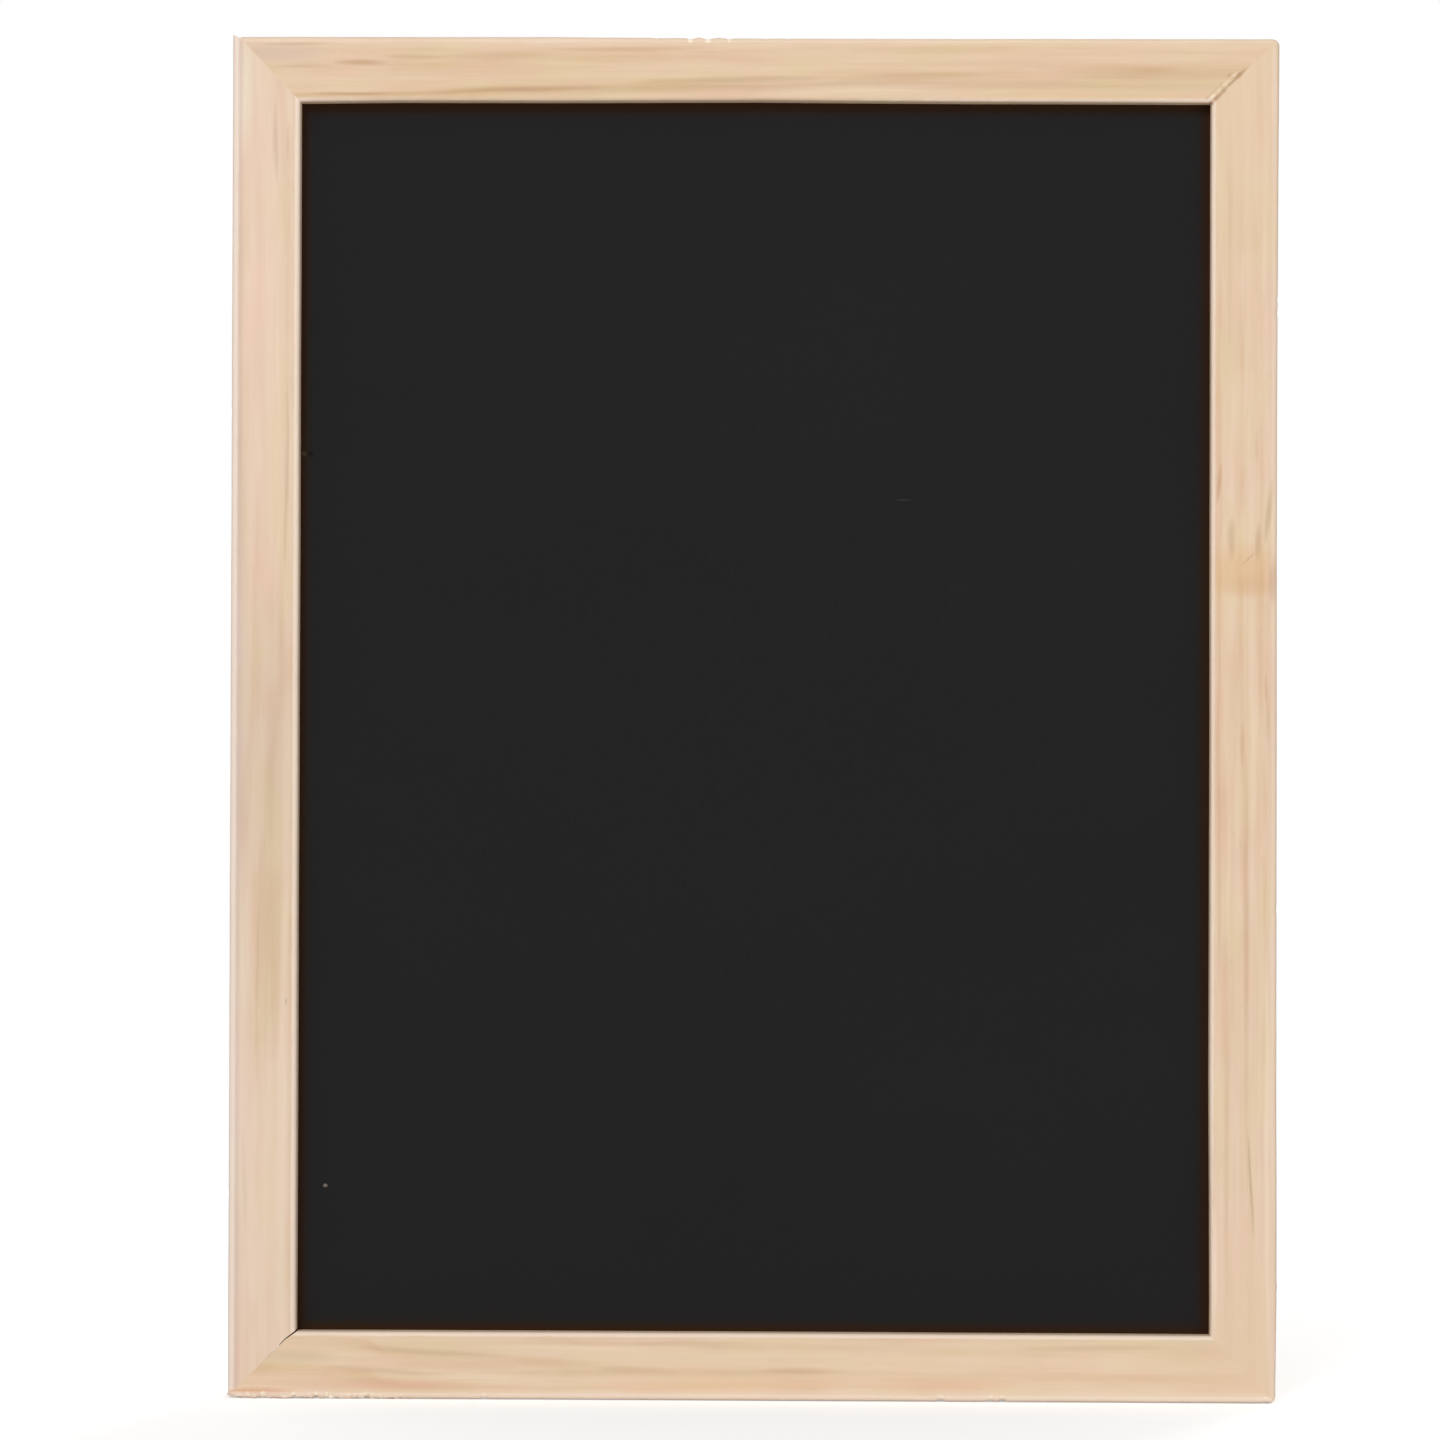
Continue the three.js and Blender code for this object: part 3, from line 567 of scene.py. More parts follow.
# Writing panel
# A stock 300 x 400 mm sheet of 3 mm hardboard with clipped corners. Its smooth face is rolled with
# matt blackboard paint, and its brown back keeps the print of the wire screen it was pressed on.
panel_width, panel_height, panel_thickness = 300 * mm, 400 * mm, 3 * mm
panel_corner = 1.5 * mm
seat_gap = 0.1 * mm
panel_front = back_face - rebate_depth + seat_gap
panel_back = panel_front + panel_thickness
panel_bow = 0.4 * mm
grid_step = 5 * mm
sheet = bmesh.new()
bmesh.ops.create_grid(sheet, x_segments=round(panel_width / grid_step),
                      y_segments=round(panel_height / grid_step), size=0.5)
for vertex in sheet.verts:
    vertex.co = (vertex.co.x * panel_width, panel_front, vertex.co.y * panel_height + middle_height)
for across_sign in (-1, 1):
    for up_sign in (-1, 1):
        clip = Vector((across_sign * (panel_width / 2 - panel_corner), 0,
                       middle_height + up_sign * panel_height / 2))
        bmesh.ops.bisect_plane(
            sheet, geom=sheet.verts[:] + sheet.edges[:] + sheet.faces[:], dist=1e-7,
            plane_co=clip, plane_no=(across_sign, 0, up_sign), clear_outer=True)
bmesh.ops.reverse_faces(sheet, faces=[face for face in sheet.faces if face.normal.y > 0])
back = bmesh.ops.duplicate(sheet, geom=sheet.verts[:] + sheet.edges[:] + sheet.faces[:])
back_faces = [item for item in back["geom"] if isinstance(item, bmesh.types.BMFace)]
bmesh.ops.reverse_faces(sheet, faces=back_faces)
for vertex in (item for item in back["geom"] if isinstance(item, bmesh.types.BMVert)):
    vertex.co.y = panel_back
rims = [edge for edge in sheet.edges if edge.is_boundary]
bmesh.ops.bridge_loops(sheet, edges=rims)
bmesh.ops.recalc_face_normals(sheet, faces=sheet.faces)
sheet.normal_update()
sharp = [edge for edge in sheet.edges if edge.calc_face_angle(0) > 1.0]
bmesh.ops.bevel(sheet, geom=sharp, offset=0.3 * mm, segments=2, affect="EDGES", profile=0.6)
for vertex in sheet.verts:
    across_share = 2 * vertex.co.x / panel_width
    up_share = 2 * (vertex.co.z - middle_height) / panel_height
    vertex.co.y += panel_bow * (1 - across_share ** 2) ** 2 * (1 - up_share ** 2) ** 2
for face in sheet.faces:
    face.smooth = True
    face.material_index = 0 if face.calc_center_median().y < panel_front + 0.5 * mm else 1
panel_mesh = bpy.data.meshes.new("painted_hardboard")
sheet.to_mesh(panel_mesh)
sheet.free()
panel_mesh.set_sharp_from_angle(angle=math.radians(40))
panel = set_out("painted_hardboard", panel_mesh)

# Blackboard paint: a black chalky film, almost without shine, with the fine pitting that a short
# roller leaves, faint clouds where it was rubbed with a duster, and a fleck and a scratch.
paint, tree = new_material("rolled blackboard paint")
place = add(tree, "TexCoord").outputs["Object"]
pitting = add(tree, "TexNoise", {"Vector": place, "Scale": 1 / (0.9 * mm), "Detail": 3.0})
wiped = add(tree, "Mapping", {"Vector": place, "Rotation": (0, 0.5, 0), "Scale": (9, 9, 22)})
duster = add(tree, "TexNoise", {"Vector": wiped, "Scale": 1.0, "Detail": 4.0})
colour = add(tree, "Mix RGBA", {"Factor": duster, "A": linear("#1b1b1b"), "B": linear("#1f1e1e")})
colour = tinted(tree, colour, pitting, 0.35, 0.75, "#242323", 0.5)
# Painted shade with the wood's colour reflected in it: beside the frame the paint turns dark brown.
axes = add(tree, "SeparateXYZ", [place])
above_middle = add(tree, "Math SUBTRACT", [axes.outputs["Z"], middle_height])
to_frame = add(tree, "Math MINIMUM", [
    add(tree, "Math SUBTRACT", [half_span - moulding_width, add(tree, "Math ABSOLUTE", [off_middle])])
    for half_span, off_middle in ((frame_width / 2, axes.outputs["X"]), (middle_height, above_middle))])
colour = tinted(tree, colour, to_frame, 3.9 * mm, 0.6 * mm, "#311c0a", 0.95)
# A fleck, a scratch with its dark end, and a chip with its shadow: place, reach, tone and strength.
for spot, reach, tone, strength in (((-134.9, 66.6), (0.9, 0.7), "#8b8177", 0.75),
                                    ((47.3, 284.0), (3.6, 0.35), "#3a3733", 0.6),
                                    ((45.0, 284.3), (1.2, 0.3), "#0c0b0b", 0.5),
                                    ((-140.4, 298.2), (1.0, 1.1), "#120b08", 0.8),
                                    ((-142.6, 298.2), (1.1, 1.1), "#4e4434", 0.6)):
    off_spot = add(tree, "VectorMath SUBTRACT", [place, (spot[0] * mm, panel_front, spot[1] * mm)])
    in_reaches = add(tree, "VectorMath MULTIPLY", [off_spot, (1 / (reach[0] * mm), 0, 1 / (reach[1] * mm))])
    from_spot = add(tree, "VectorMath LENGTH", [in_reaches])
    colour = tinted(tree, colour, from_spot, 1.0, 0.3, tone, strength)
dry = add(tree, "MapRange", {
    "Value": duster, "From Min": 0.3, "From Max": 0.7, "To Min": 0.84, "To Max": 0.93})
surface(tree, pitting, 0.5, 0.03 * mm, {"Base Color": colour, "Roughness": dry, "Specular IOR Level": 0.12})

# Screen-backed hardboard: brown pressed fibre, with the square print of
# a wire screen of about 1.3 mm pitch.
hardboard, tree = new_material("screen backed hardboard")
place = add(tree, "TexCoord").outputs["Object"]
axes = add(tree, "SeparateXYZ", [place])
screen_pitch = 1.3 * mm
print_depth = add(tree, "Math MULTIPLY", [
    add(tree, "Math SINE", [add(tree, "Math MULTIPLY", [axes.outputs[axis], 2 * math.pi / screen_pitch])])
    for axis in ("X", "Z")])
fibres = add(tree, "TexNoise", {
    "Vector": place, "Scale": 1 / (1.6 * mm), "Detail": 5.0, "Roughness": 0.7, "Distortion": 0.8})
patches = add(tree, "TexNoise", {"Vector": place, "Scale": 26, "Detail": 3.0})
colour = tinted(tree, linear("#6f4e31"), fibres, 0.3, 0.7, "#a37c53", 1.0)
colour = tinted(tree, colour, patches, 0.4, 0.7, "#7d5b3c", 0.4)
colour = tinted(tree, colour, print_depth, 0.2, -0.8, "#54391f", 0.35)
relief = add(tree, "Math MULTIPLY_ADD", [fibres, 0.5, print_depth])
surface(tree, relief, 0.6, 0.12 * mm, {"Base Color": colour, "Roughness": 0.82, "Specular IOR Level": 0.3})

panel_mesh.materials.append(paint)
panel_mesh.materials.append(hardboard)
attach(panel, "root")
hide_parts("writing_panel")


# Framer's points
# Ten lozenges of zinc-plated strip, shot flat over the panel's back into the rebate wall, so that
# only the round tail shows. The driver leaves each one turned a degree or two.
point_sizes = {
    "Length": 16 * mm, "Width": 7 * mm, "Gauge": 0.5 * mm, "Tip": 13 * mm, "Taper": 4 * mm,
    "Tail Radius": 2 * mm, "Back": panel_back + seat_gap + 0.5 * mm, "Rail Points": 2, "Stile Points": 3,
    "Rail Run": panel_width / 2 - 62 * mm, "Stile Run": panel_height / 2 - 62 * mm,
    "Rail Sight": middle_height - moulding_width, "Stile Sight": frame_width / 2 - moulding_width,
    "Middle Height": middle_height, "Steel": None}
tree, size = open_tree("rows of framer's points", point_sizes)
half = add(tree, "Math MULTIPLY", [size["Width"], 0.5])
other_half = add(tree, "Math MULTIPLY", [half, -1])
tail = add(tree, "Math SUBTRACT", [size["Tip"], size["Length"]])
cheek = add(tree, "Math SUBTRACT", [size["Tip"], size["Taper"]])
lozenge = outline(
    tree, [(half, tail), (half, cheek), (0, size["Tip"]), (other_half, cheek), (other_half, tail)],
    [size["Tail Radius"], 0.4 * mm, 0.2 * mm, 0.4 * mm, size["Tail Radius"]], steps=6, closed=True)
gauge = add(tree, "CombineXYZ", {"Z": size["Gauge"]})
gauge = add(tree, "CurvePrimitiveLine", {"Start": (0, 0, 0), "End": gauge})
blank = add(tree, "CurveToMesh", {"Curve": gauge, "Profile Curve": lozenge, "Fill Caps": True})
blank = add(tree, "Transform", {
    "Geometry": blank, "Rotation": (quarter_turn, 0, 0),
    "Translation": add(tree, "CombineXYZ", {"Y": size["Back"]})})
rows = add(tree, "JoinGeometry")
for turn in range(4):
    kind = "Stile" if turn % 2 else "Rail"
    start, end = (add(tree, "CombineXYZ", {
        "X": add(tree, "Math MULTIPLY", [size[f"{kind} Run"], sign]), "Z": size[f"{kind} Sight"]})
        for sign in (-1, 1))
    row = add(tree, "MeshLine END_POINTS", {
        "Count": size[f"{kind} Points"], "Start Location": start, "Offset": end})
    askew = add(tree, "RandomValue FLOAT", {
        "Min": -0.05, "Max": 0.05, "ID": add(tree, "InputIndex"), "Seed": 11 + turn})
    askew = add(tree, "EulerToRotation", {"Euler": add(tree, "CombineXYZ", {"Y": askew})})
    row = add(tree, "InstanceOnPoints", {"Points": row, "Instance": blank, "Rotation": askew})
    row = add(tree, "Transform", {
        "Geometry": row, "Rotation": (0, turn * quarter_turn, 0),
        "Translation": add(tree, "CombineXYZ", {"Z": size["Middle Height"]})})
    tree.links.new(row.outputs[0], rows.inputs[0])
points = close_tree(tree, rows, size["Steel"])

point_slack = 0.06 * mm
framers_points = made_by(points, "framers_points_steel", {"Steel": zinc})
point_slots = made_by(points, "point_slots", {
    label: point_sizes[label] + slacks * point_slack
    for label, slacks in (("Length", 2), ("Width", 2), ("Gauge", 2), ("Tip", 1), ("Back", 1))})
eased = framers_points.modifiers.new("eased edges", "BEVEL")
eased.width, eased.segments, eased.limit_method = 0.08 * mm, 2, "ANGLE"
framers_points.data.set_sharp_from_angle(angle=math.radians(50))
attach(framers_points, "root")
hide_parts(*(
    f"panel_point_{side}_{number}" for side, count in (("top", 2), ("right", 3), ("bottom", 2), ("left", 3))
    for number in range(1, count + 1)))


# Hanger nails
# Two short pins with domed, stamped heads, brassed like the hanger that they hold to the top rail.
hanger_length, hanger_height, hanger_gauge = 46 * mm, 9 * mm, 0.8 * mm
hanger_middle = frame_height - moulding_width + (rebate_width + moulding_width) / 2
hanger_back = back_face + seat_gap
nail_seat = hanger_back + hanger_gauge + seat_gap
nail_spacing = hanger_length - hanger_height
nail_sizes = {
    "Shank": 1.5 * mm, "Length": 10 * mm, "Point": 2.2 * mm, "Head": 3.6 * mm, "Rim": 0.35 * mm,
    "Crown": 0.3 * mm, "Spacing": nail_spacing, "Seat": nail_seat, "Height": hanger_middle, "Brass": None}
tree, size = open_tree("pair of hanger nails", nail_sizes)
index = add(tree, "InputIndex")
height, girth = (add(tree, "IndexSwitch FLOAT", {"Index": index}) for _ in range(2))
# From the crown of the head to the point: what the height is a share of, and what the radius is.
stations = [
    ("Crown", 1.0, "Head", 0.02), ("Crown", 0.98, "Head", 0.16), ("Crown", 0.8, "Head", 0.3),
    ("Crown", 0.4, "Head", 0.43), ("Crown", 0.0, "Head", 0.485), ("Rim", -0.3, "Head", 0.5),
    ("Rim", -0.8, "Head", 0.5), ("Rim", -1.0, "Head", 0.475), ("Rim", -1.01, "Shank", 0.56),
    ("Rim", -1.7, "Shank", 0.5), ("Point", 1.0, "Shank", 0.5), ("Point", 0.45, "Shank", 0.27),
    ("Point", 0.0, "Shank", 0.04)]
for i, (level, level_share, round_, round_share) in enumerate(stations):
    if i > 1:
        height.index_switch_items.new()
        girth.index_switch_items.new()
    base = size["Rim"] if level != "Point" else add(tree, "Math MULTIPLY", [size["Length"], -1])
    feed(tree, height, str(i), add(tree, "Math MULTIPLY_ADD", [size[level], level_share, base]))
    feed(tree, girth, str(i), add(tree, "Math MULTIPLY", [size[round_], round_share]))
place = add(tree, "CombineXYZ", {"Z": height})
axis = add(tree, "PointsToCurves", {
    "Points": add(tree, "Points", {"Count": len(stations), "Position": place})})
circle = add(tree, "CurvePrimitiveCircle", {"Resolution": 32, "Radius": 1.0})
nail = add(tree, "CurveToMesh", {
    "Curve": axis, "Profile Curve": circle, "Scale": girth, "Fill Caps": True})
nail = add(tree, "Transform", {"Geometry": nail, "Rotation": (-quarter_turn, 0, 0)})
half = add(tree, "Math MULTIPLY", [size["Spacing"], 0.5])
left, right = (add(tree, "CombineXYZ", {"X": x, "Y": size["Seat"], "Z": size["Height"]})
               for x in (add(tree, "Math MULTIPLY", [half, -1]), half))
pair = add(tree, "MeshLine END_POINTS", {"Count": 2, "Start Location": left, "Offset": right})
nails = close_tree(tree, add(tree, "InstanceOnPoints", {"Points": pair, "Instance": nail}), size["Brass"])

brass = plated_steel("brass plated steel", "#c9a865", "#a08c62", 0.28, 0.8 * mm)
hanger_nails = made_by(nails, "hanger_nails_brassed", {"Brass": brass})
pilot_slack = 0.1 * mm
pilot_holes = made_by(nails, "pilot_holes", {
    label: nail_sizes[label] + pilot_slack for label in ("Shank", "Length")})
hanger_nails.data.set_sharp_from_angle(angle=math.radians(40))
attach(hanger_nails, "root")
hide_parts("hanger_nail_left", "hanger_nail_right")


# Knocks, splits and pockets in the pine
# What sanding, handling and driving the steel left in the wood: nicks along the front arrises, torn
# fibres under the bottom rail, the split mitre, and the pockets that the steel was pressed into.
width = moulding_width / mm


@contextmanager
def edited(mesh):
    """Opens a mesh for editing, and writes it back when the block is done."""
    open_mesh = bmesh.new()
    open_mesh.from_mesh(mesh)
    yield open_mesh
    open_mesh.to_mesh(mesh)
    open_mesh.free()


def local_place(side, mesh):
    """The mesh's points as along, depth and across, in millimetres, as if the side were the top one."""
    places = np.empty(len(mesh.vertices) * 3, np.float32)
    mesh.vertices.foreach_get("co", places)
    places = places.reshape(-1, 3).astype(float) - (0, 0, middle_height)
    back_turn = np.array(Matrix.Rotation(-side["turn"] * quarter_turn, 3, "Y"))
    return (places @ back_turn.T - (0, 0, side["reach"] - moulding_width)) / mm


def put_back(side, mesh, places):
    """Writes points of local_place to the mesh again."""
    turn = np.array(Matrix.Rotation(side["turn"] * quarter_turn, 3, "Y"))
    world = (places * mm + (0, 0, side["reach"] - moulding_width)) @ turn.T + (0, 0, middle_height)
    mesh.vertices.foreach_set("co", world.astype(np.float32).ravel())
    mesh.update()


def finer(mesh, picked, cuts):
    """Cuts the picked part of a mesh finer, so that small damage has points to stand on."""
    with edited(mesh) as detail:
        edges = [edge for edge in detail.edges if all(picked[vertex.index] for vertex in edge.verts)]
        bmesh.ops.subdivide_edges(detail, edges=edges, cuts=cuts, use_grid_fill=True)


def mitre_strips(mesh, side):
    """Cuts the two mitre faces into strips from front to back, so that they can bend with the joint."""
    places = local_place(side, mesh)
    in_face = (places[:, 1] < front_face / mm + 0.001) & (abs(places[:, 0]) > side["length"] / mm / 2 - width)
    turn = Matrix.Rotation(side["turn"] * quarter_turn, 3, "Y")
    with edited(mesh) as detail:
        for station in np.unique(places[in_face, 2].round(3)):
            ends = [face for face in detail.faces if abs((turn.transposed() @ face.normal).x) > 0.6]
            plane = turn @ Vector((0, 0, side["reach"] - moulding_width + station * mm))
            bmesh.ops.bisect_plane(
                detail, geom=list({*ends, *(e for f in ends for e in f.edges),
                                   *(v for f in ends for v in f.verts)}), dist=2e-6,
                plane_co=plane + Vector((0, 0, middle_height)), plane_no=turn @ Vector((0, 0, 1)))


# In millimetres: how far the split runs, its groove and the lift of its slivers, which are (place,
# half width, size), where the torn fibres start and end, how far the foot may stand out, and where
# the standing tip starts and how much of it is left.
split_reach, groove_half, groove_depth, sliver_lift = 11.0, 0.7, 0.26, 0.36
tear_start, tear_end, foot_limit = 105.0, 164.5, 0.2
tip_start, tip_left = 214.3, 0.42
slivers = ((2.0, 0.8, 1.1), (4.0, 0.4, 0.6), (6.0, 0.8, 0.6), (8.7, 0.7, 1.1))


def off_split(node, along, across):
    """How far a point of the top rail or the right stile is from the mitre between the two."""
    half_length = sides[node]["length"] / 2 / mm
    return (half_length - (width - across) - (along if node == "top_rail" else -along)) / math.sqrt(2)


# No length is quite straight or as wide as the next: (along, sight edge, outer edge) moved outwards.
uneven = {
    "top_rail": [(-165, 0, -0.2), (-134, 0.26, -0.2), (-112, 0.5, -0.2), (-65, 0.43, -0.2),
                 (0, 0.65, -0.6), (65, 0.24, -0.73), (134, 0.06, -0.73), (165, 0, -0.73)],
    "right_stile": [(-211, -0.06, 0.3), (-148, -0.07, 0), (-100, -0.07, -0.2), (0, 0.03, -0.1),
                    (114, -0.06, 0), (152, 0.19, 0.15), (183, 0.34, 0.2), (211, 0.24, -0.1)],
    "bottom_rail": [(-165, 0, 0), (-109, -0.1, 0), (-15, -0.17, 0), (60, -0.13, 0), (110, -0.1, 0),
                    (165, 0, 0)],
    "left_stile": [(-215, -0.45, 0), (215, -0.45, 0)],
}
# Nicks in the outer arris: (along, half length, depth). Below zero, the wood stands out there.
nicks = {
    "top_rail": [(-31, 0.9, 0.2), (-28.6, 0.7, 0.12), (-20.4, 1.1, 0.4), (-17.6, 0.8, -0.25),
                 (-14.8, 1.2, 0.45), (-11.2, 0.8, -0.2), (-8.0, 1.0, 0.3), (3.5, 0.8, 0.2), (10.6, 0.7, 0.2)],
    "bottom_rail": [(-59.9, 1.1, 0.5), (-75.4, 0.9, 0.35), (-79.2, 0.8, 0.55), (-161.6, 0.6, 0.3),
                    (84.0, 0.9, 0.3), (121.5, 1.1, 0.35), (129.2, 0.7, -0.25), (133.6, 0.6, 0.45),
                    (137.1, 0.7, 0.5), (144.0, 0.5, 0.4), (147.2, 0.8, -0.4), (153.8, 1.1, 0.4),
                    (156.9, 0.6, -0.3), (158.6, 0.6, 0.35)],
    "left_stile": [(-151, 1.4, 0.12), (96, 1.6, 0.1)],
    "right_stile": [(-132.2, 0.9, 0.14), (-127.8, 1.0, 0.18), (60, 1.2, 0.12), (178.4, 0.8, -0.12)],
}
for node, side in sides.items():
    mesh = mouldings[node].data
    mitre_strips(mesh, side)
    for around, moves in uneven.items():
        places = local_place(sides[around], mesh)
        reach, at_sight, at_outer = np.array(moves).T
        share = np.clip(places[:, 2] / width, 0, 1)
        inside = np.clip(1 + places[:, 2] / 8, 0, 1)
        places[:, 2] += inside * (np.interp(places[:, 0], reach, at_sight) * (1 - share)
                                  + np.interp(places[:, 0], reach, at_outer) * share)
        put_back(sides[around], mesh, places)

    # The mesh is cut finer round each piece of damage.
    along, depth, across = local_place(side, mesh).T
    picked = np.zeros(len(along), bool)
    at_front = depth < -4.5
    for middle, half_nick, _ in nicks[node]:
        picked |= (abs(along - middle) < 3 * half_nick + 0.8) & (across > width - 3.2) & at_front
    if node in ("top_rail", "right_stile"):
        picked |= (off_split(node, along, across) < 3.4) & (across < split_reach + 3) & at_front
    if node == "bottom_rail":
        picked |= (along > tear_start) & (along < tear_end + 1) & (across > width - 3.0) & at_front
    finer(mesh, picked, 2)

    places = local_place(side, mesh)
    along, depth, across = places.T
    # Two masks go with the damage: torn fibres, paler wood with a painted highlight on them, and painted
    # shade in the split with painted shadow behind its slivers.
    torn_with_glint, painted_split_shade = np.zeros(len(along)), np.zeros(len(along))
    near_front = np.clip((-5.2 - depth) / 1.2, 0, 1)
    near_outer = np.clip((across - width + 1.8) / 1.4, 0, 1)
    down_side = np.clip((-1.5 - depth) / 3.0, 0, 1)
    frayed = near_front * np.clip((across - width + 2.5) / 0.7, 0, 1)
    for middle, half_nick, bite in nicks[node]:
        in_nick = np.exp(-((along - middle) / half_nick) ** 2)
        shape = in_nick * near_outer
        across -= bite * shape * down_side
        depth += 0.6 * max(bite, 0) * shape * near_front
        torn_with_glint = np.maximum(torn_with_glint, np.clip(2.2 * in_nick * frayed - 0.9, 0, 1) * min(1, max(0, 5 * bite - 1)))
    if node in ("top_rail", "right_stile"):
        # The split mitre: a ragged groove, painted darker as its shade, with slivers lifted along its edge on
        # the rail's side, painted pale with a highlight and with painted shadow behind them.
        off_mitre = off_split(node, along, across)
        in_split = (near_front > 0) & (off_mitre < 3.0) & (across < split_reach)
        for i in np.nonzero(in_split)[0]:
            taper = min(1.0, (split_reach - across[i]) / 1.5)
            rough = noise.noise(Vector((across[i] / 0.9, off_mitre[i] / 1.1, 4.0)))
            half_groove = groove_half + 0.25 * rough
            if off_mitre[i] < half_groove:
                shape = 1 - off_mitre[i] / half_groove
                depth[i] += taper * (groove_depth + 0.15 * rough) * shape
                # Painted shade in the groove.
                painted_split_shade[i] = taper * max(0.0, 0.65 + 0.7 * rough) * min(1.0, 2 * shape)
            elif node == "top_rail":
                crest = math.exp(-((off_mitre[i] - 1.15 - 0.5 * rough) / 0.4) ** 2)
                sliver = sum(size * math.exp(-((across[i] - middle) / half_sliver) ** 2)
                             for middle, half_sliver, size in slivers)
                fray = noise.noise(Vector((across[i] / 0.5, off_mitre[i] / 0.5, 9.0)))
                sliver = crest * max(0.0, sliver - 0.18 + 0.5 * fray)
                depth[i] -= sliver_lift * sliver * (1 + rough)
                torn_with_glint[i] = min(1.0, 1.1 * sliver)
                # Painted shadow behind each sliver, on the rail's side.
                behind = math.exp(-((off_mitre[i] - 2.2) / 0.35) ** 2) * sum(
                    size * math.exp(-((across[i] - middle) / 0.7) ** 2) for middle, _, size in slivers)
                painted_split_shade[i] = max(0.0, min(1.0, behind * (0.5 + 1.5 * rough)))
    if node == "bottom_rail":
        # The fibres beside its left end are torn.
        in_tear = (along > tear_start) & (along < tear_end) & (across > width - 1.8) & (depth < -3.5)
        for i in np.nonzero(in_tear)[0]:
            spot = Vector((along[i] / 1.5, across[i] / 0.9, depth[i] / 0.7))
            tear = noise.noise(spot) + 0.5 * noise.noise(2.3 * spot)
            fade = min(1.0, (along[i] - tear_start) / 6) * min(1.0, (depth[i] + 3.5) / -1.5)
            across[i] += 0.6 * tear * fade
            depth[i] += 0.15 * tear * fade
            torn_with_glint[i] = max(torn_with_glint[i], min(1.0, 3 * fade * max(0.0, tear - 0.26)))
        # It stands on this edge, so what stuck out has been pressed flat.
        across[:] = np.minimum(across, width + foot_limit)
    if node == "left_stile":
        # Its tip stands over the top rail, and is rubbed low.
        along[:] = np.where(along > tip_start, tip_start + tip_left * (along - tip_start), along)
    put_back(side, mesh, np.stack([along, depth, across], 1))
    for name, values in (("torn_with_glint", torn_with_glint), ("painted_split_shade", painted_split_shade)):
        mesh.attributes.new(name, "FLOAT", "POINT").data.foreach_set("value", values.astype(np.float32))

# The mitre at the bottom left is cut a little round, and its tip is knocked up. Both sides of the
# mitre follow the same moves, so that they still meet.
for node in ("bottom_rail", "left_stile"):
    mesh = mouldings[node].data
    along, depth, across = places = local_place(sides["bottom_rail"], mesh).T
    sight_corner = frame_width / 2 / mm - width
    run = (along - sight_corner + across) / math.sqrt(2)
    off = (along - sight_corner - across) / math.sqrt(2)
    bow = 0.5 * np.clip(run / 3, 0, 1) * np.exp(-(np.maximum(run - 4, 0) / 7) ** 2)
    bow = bow * np.exp(-(off / 5) ** 2)
    along += bow / math.sqrt(2)
    across -= bow / math.sqrt(2)
    across -= 0.8 * np.clip((along - 160.5) / 4.5, 0, 1) * np.clip((across - width + 7.0) / 7.0, 0, 1)
    put_back(sides["bottom_rail"], mesh, places.T)

# The pockets are cut, and what a cut leaves open on a sliver is closed.
for node, piece in mouldings.items():
    cutters = [wedge_pockets, point_slots] + ([pilot_holes] if node == "top_rail" else [])
    for cutter in cutters:
        pocket = piece.modifiers.new(cutter.name, "BOOLEAN")
        pocket.operation, pocket.solver, pocket.object = "DIFFERENCE", "EXACT", cutter
    cut_mesh = plain_mesh(piece)
    with edited(cut_mesh) as closed:
        bmesh.ops.holes_fill(closed, edges=[edge for edge in closed.edges if edge.is_boundary])
        bmesh.ops.recalc_face_normals(closed, faces=closed.faces)
    piece.modifiers.clear()
    piece.data = cut_mesh
    cut_mesh.name = piece.name
    cut_mesh.set_sharp_from_angle(angle=math.radians(38))
    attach(piece, "root")
    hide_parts(node)
for cutter in (wedge_pockets, point_slots, pilot_holes):
    bpy.data.objects.remove(cutter)


# Sawtooth hanger
# A pressed strip of brassed steel: round flat ends with a nail hole each, a bridge raised off the
# wood between them, and saw teeth punched along the bridge's lower edge for the wall nail.
bridge, ramp, rise, bend_radius = 23.0, 3.0, 2.2, 1.6
tooth_pitch, tooth_depth, tooth_recess, hole = 2.3, 1.3, 0.9, 2.2
half_tip, half_root = 0.12, 0.08
half_height = hanger_height / mm / 2
round_centre = hanger_length / mm / 2 - half_height
teeth = int(bridge // tooth_pitch)
first_tooth = -teeth * tooth_pitch / 2
root = tooth_recess - half_height
lower_edge = [(first_tooth - tooth_recess, -half_height), (first_tooth, root)]
for tooth in range(teeth):
    x = first_tooth + tooth * tooth_pitch
    lower_edge += [(x + tooth_pitch / 2 - half_tip, root + tooth_depth),
                   (x + tooth_pitch / 2 + half_tip, root + tooth_depth),
                   (x + tooth_pitch - half_root, root), (x + tooth_pitch + half_root, root)]
lower_edge = lower_edge[:-1] + [(-first_tooth + tooth_recess, -half_height)]


def arc(centre_x, radius, start, end, steps):
    """Points on a circle about (centre_x, 0), in millimetres."""
    angles = np.linspace(start, end, steps)
    return [(centre_x + radius * math.cos(a), radius * math.sin(a)) for a in angles]


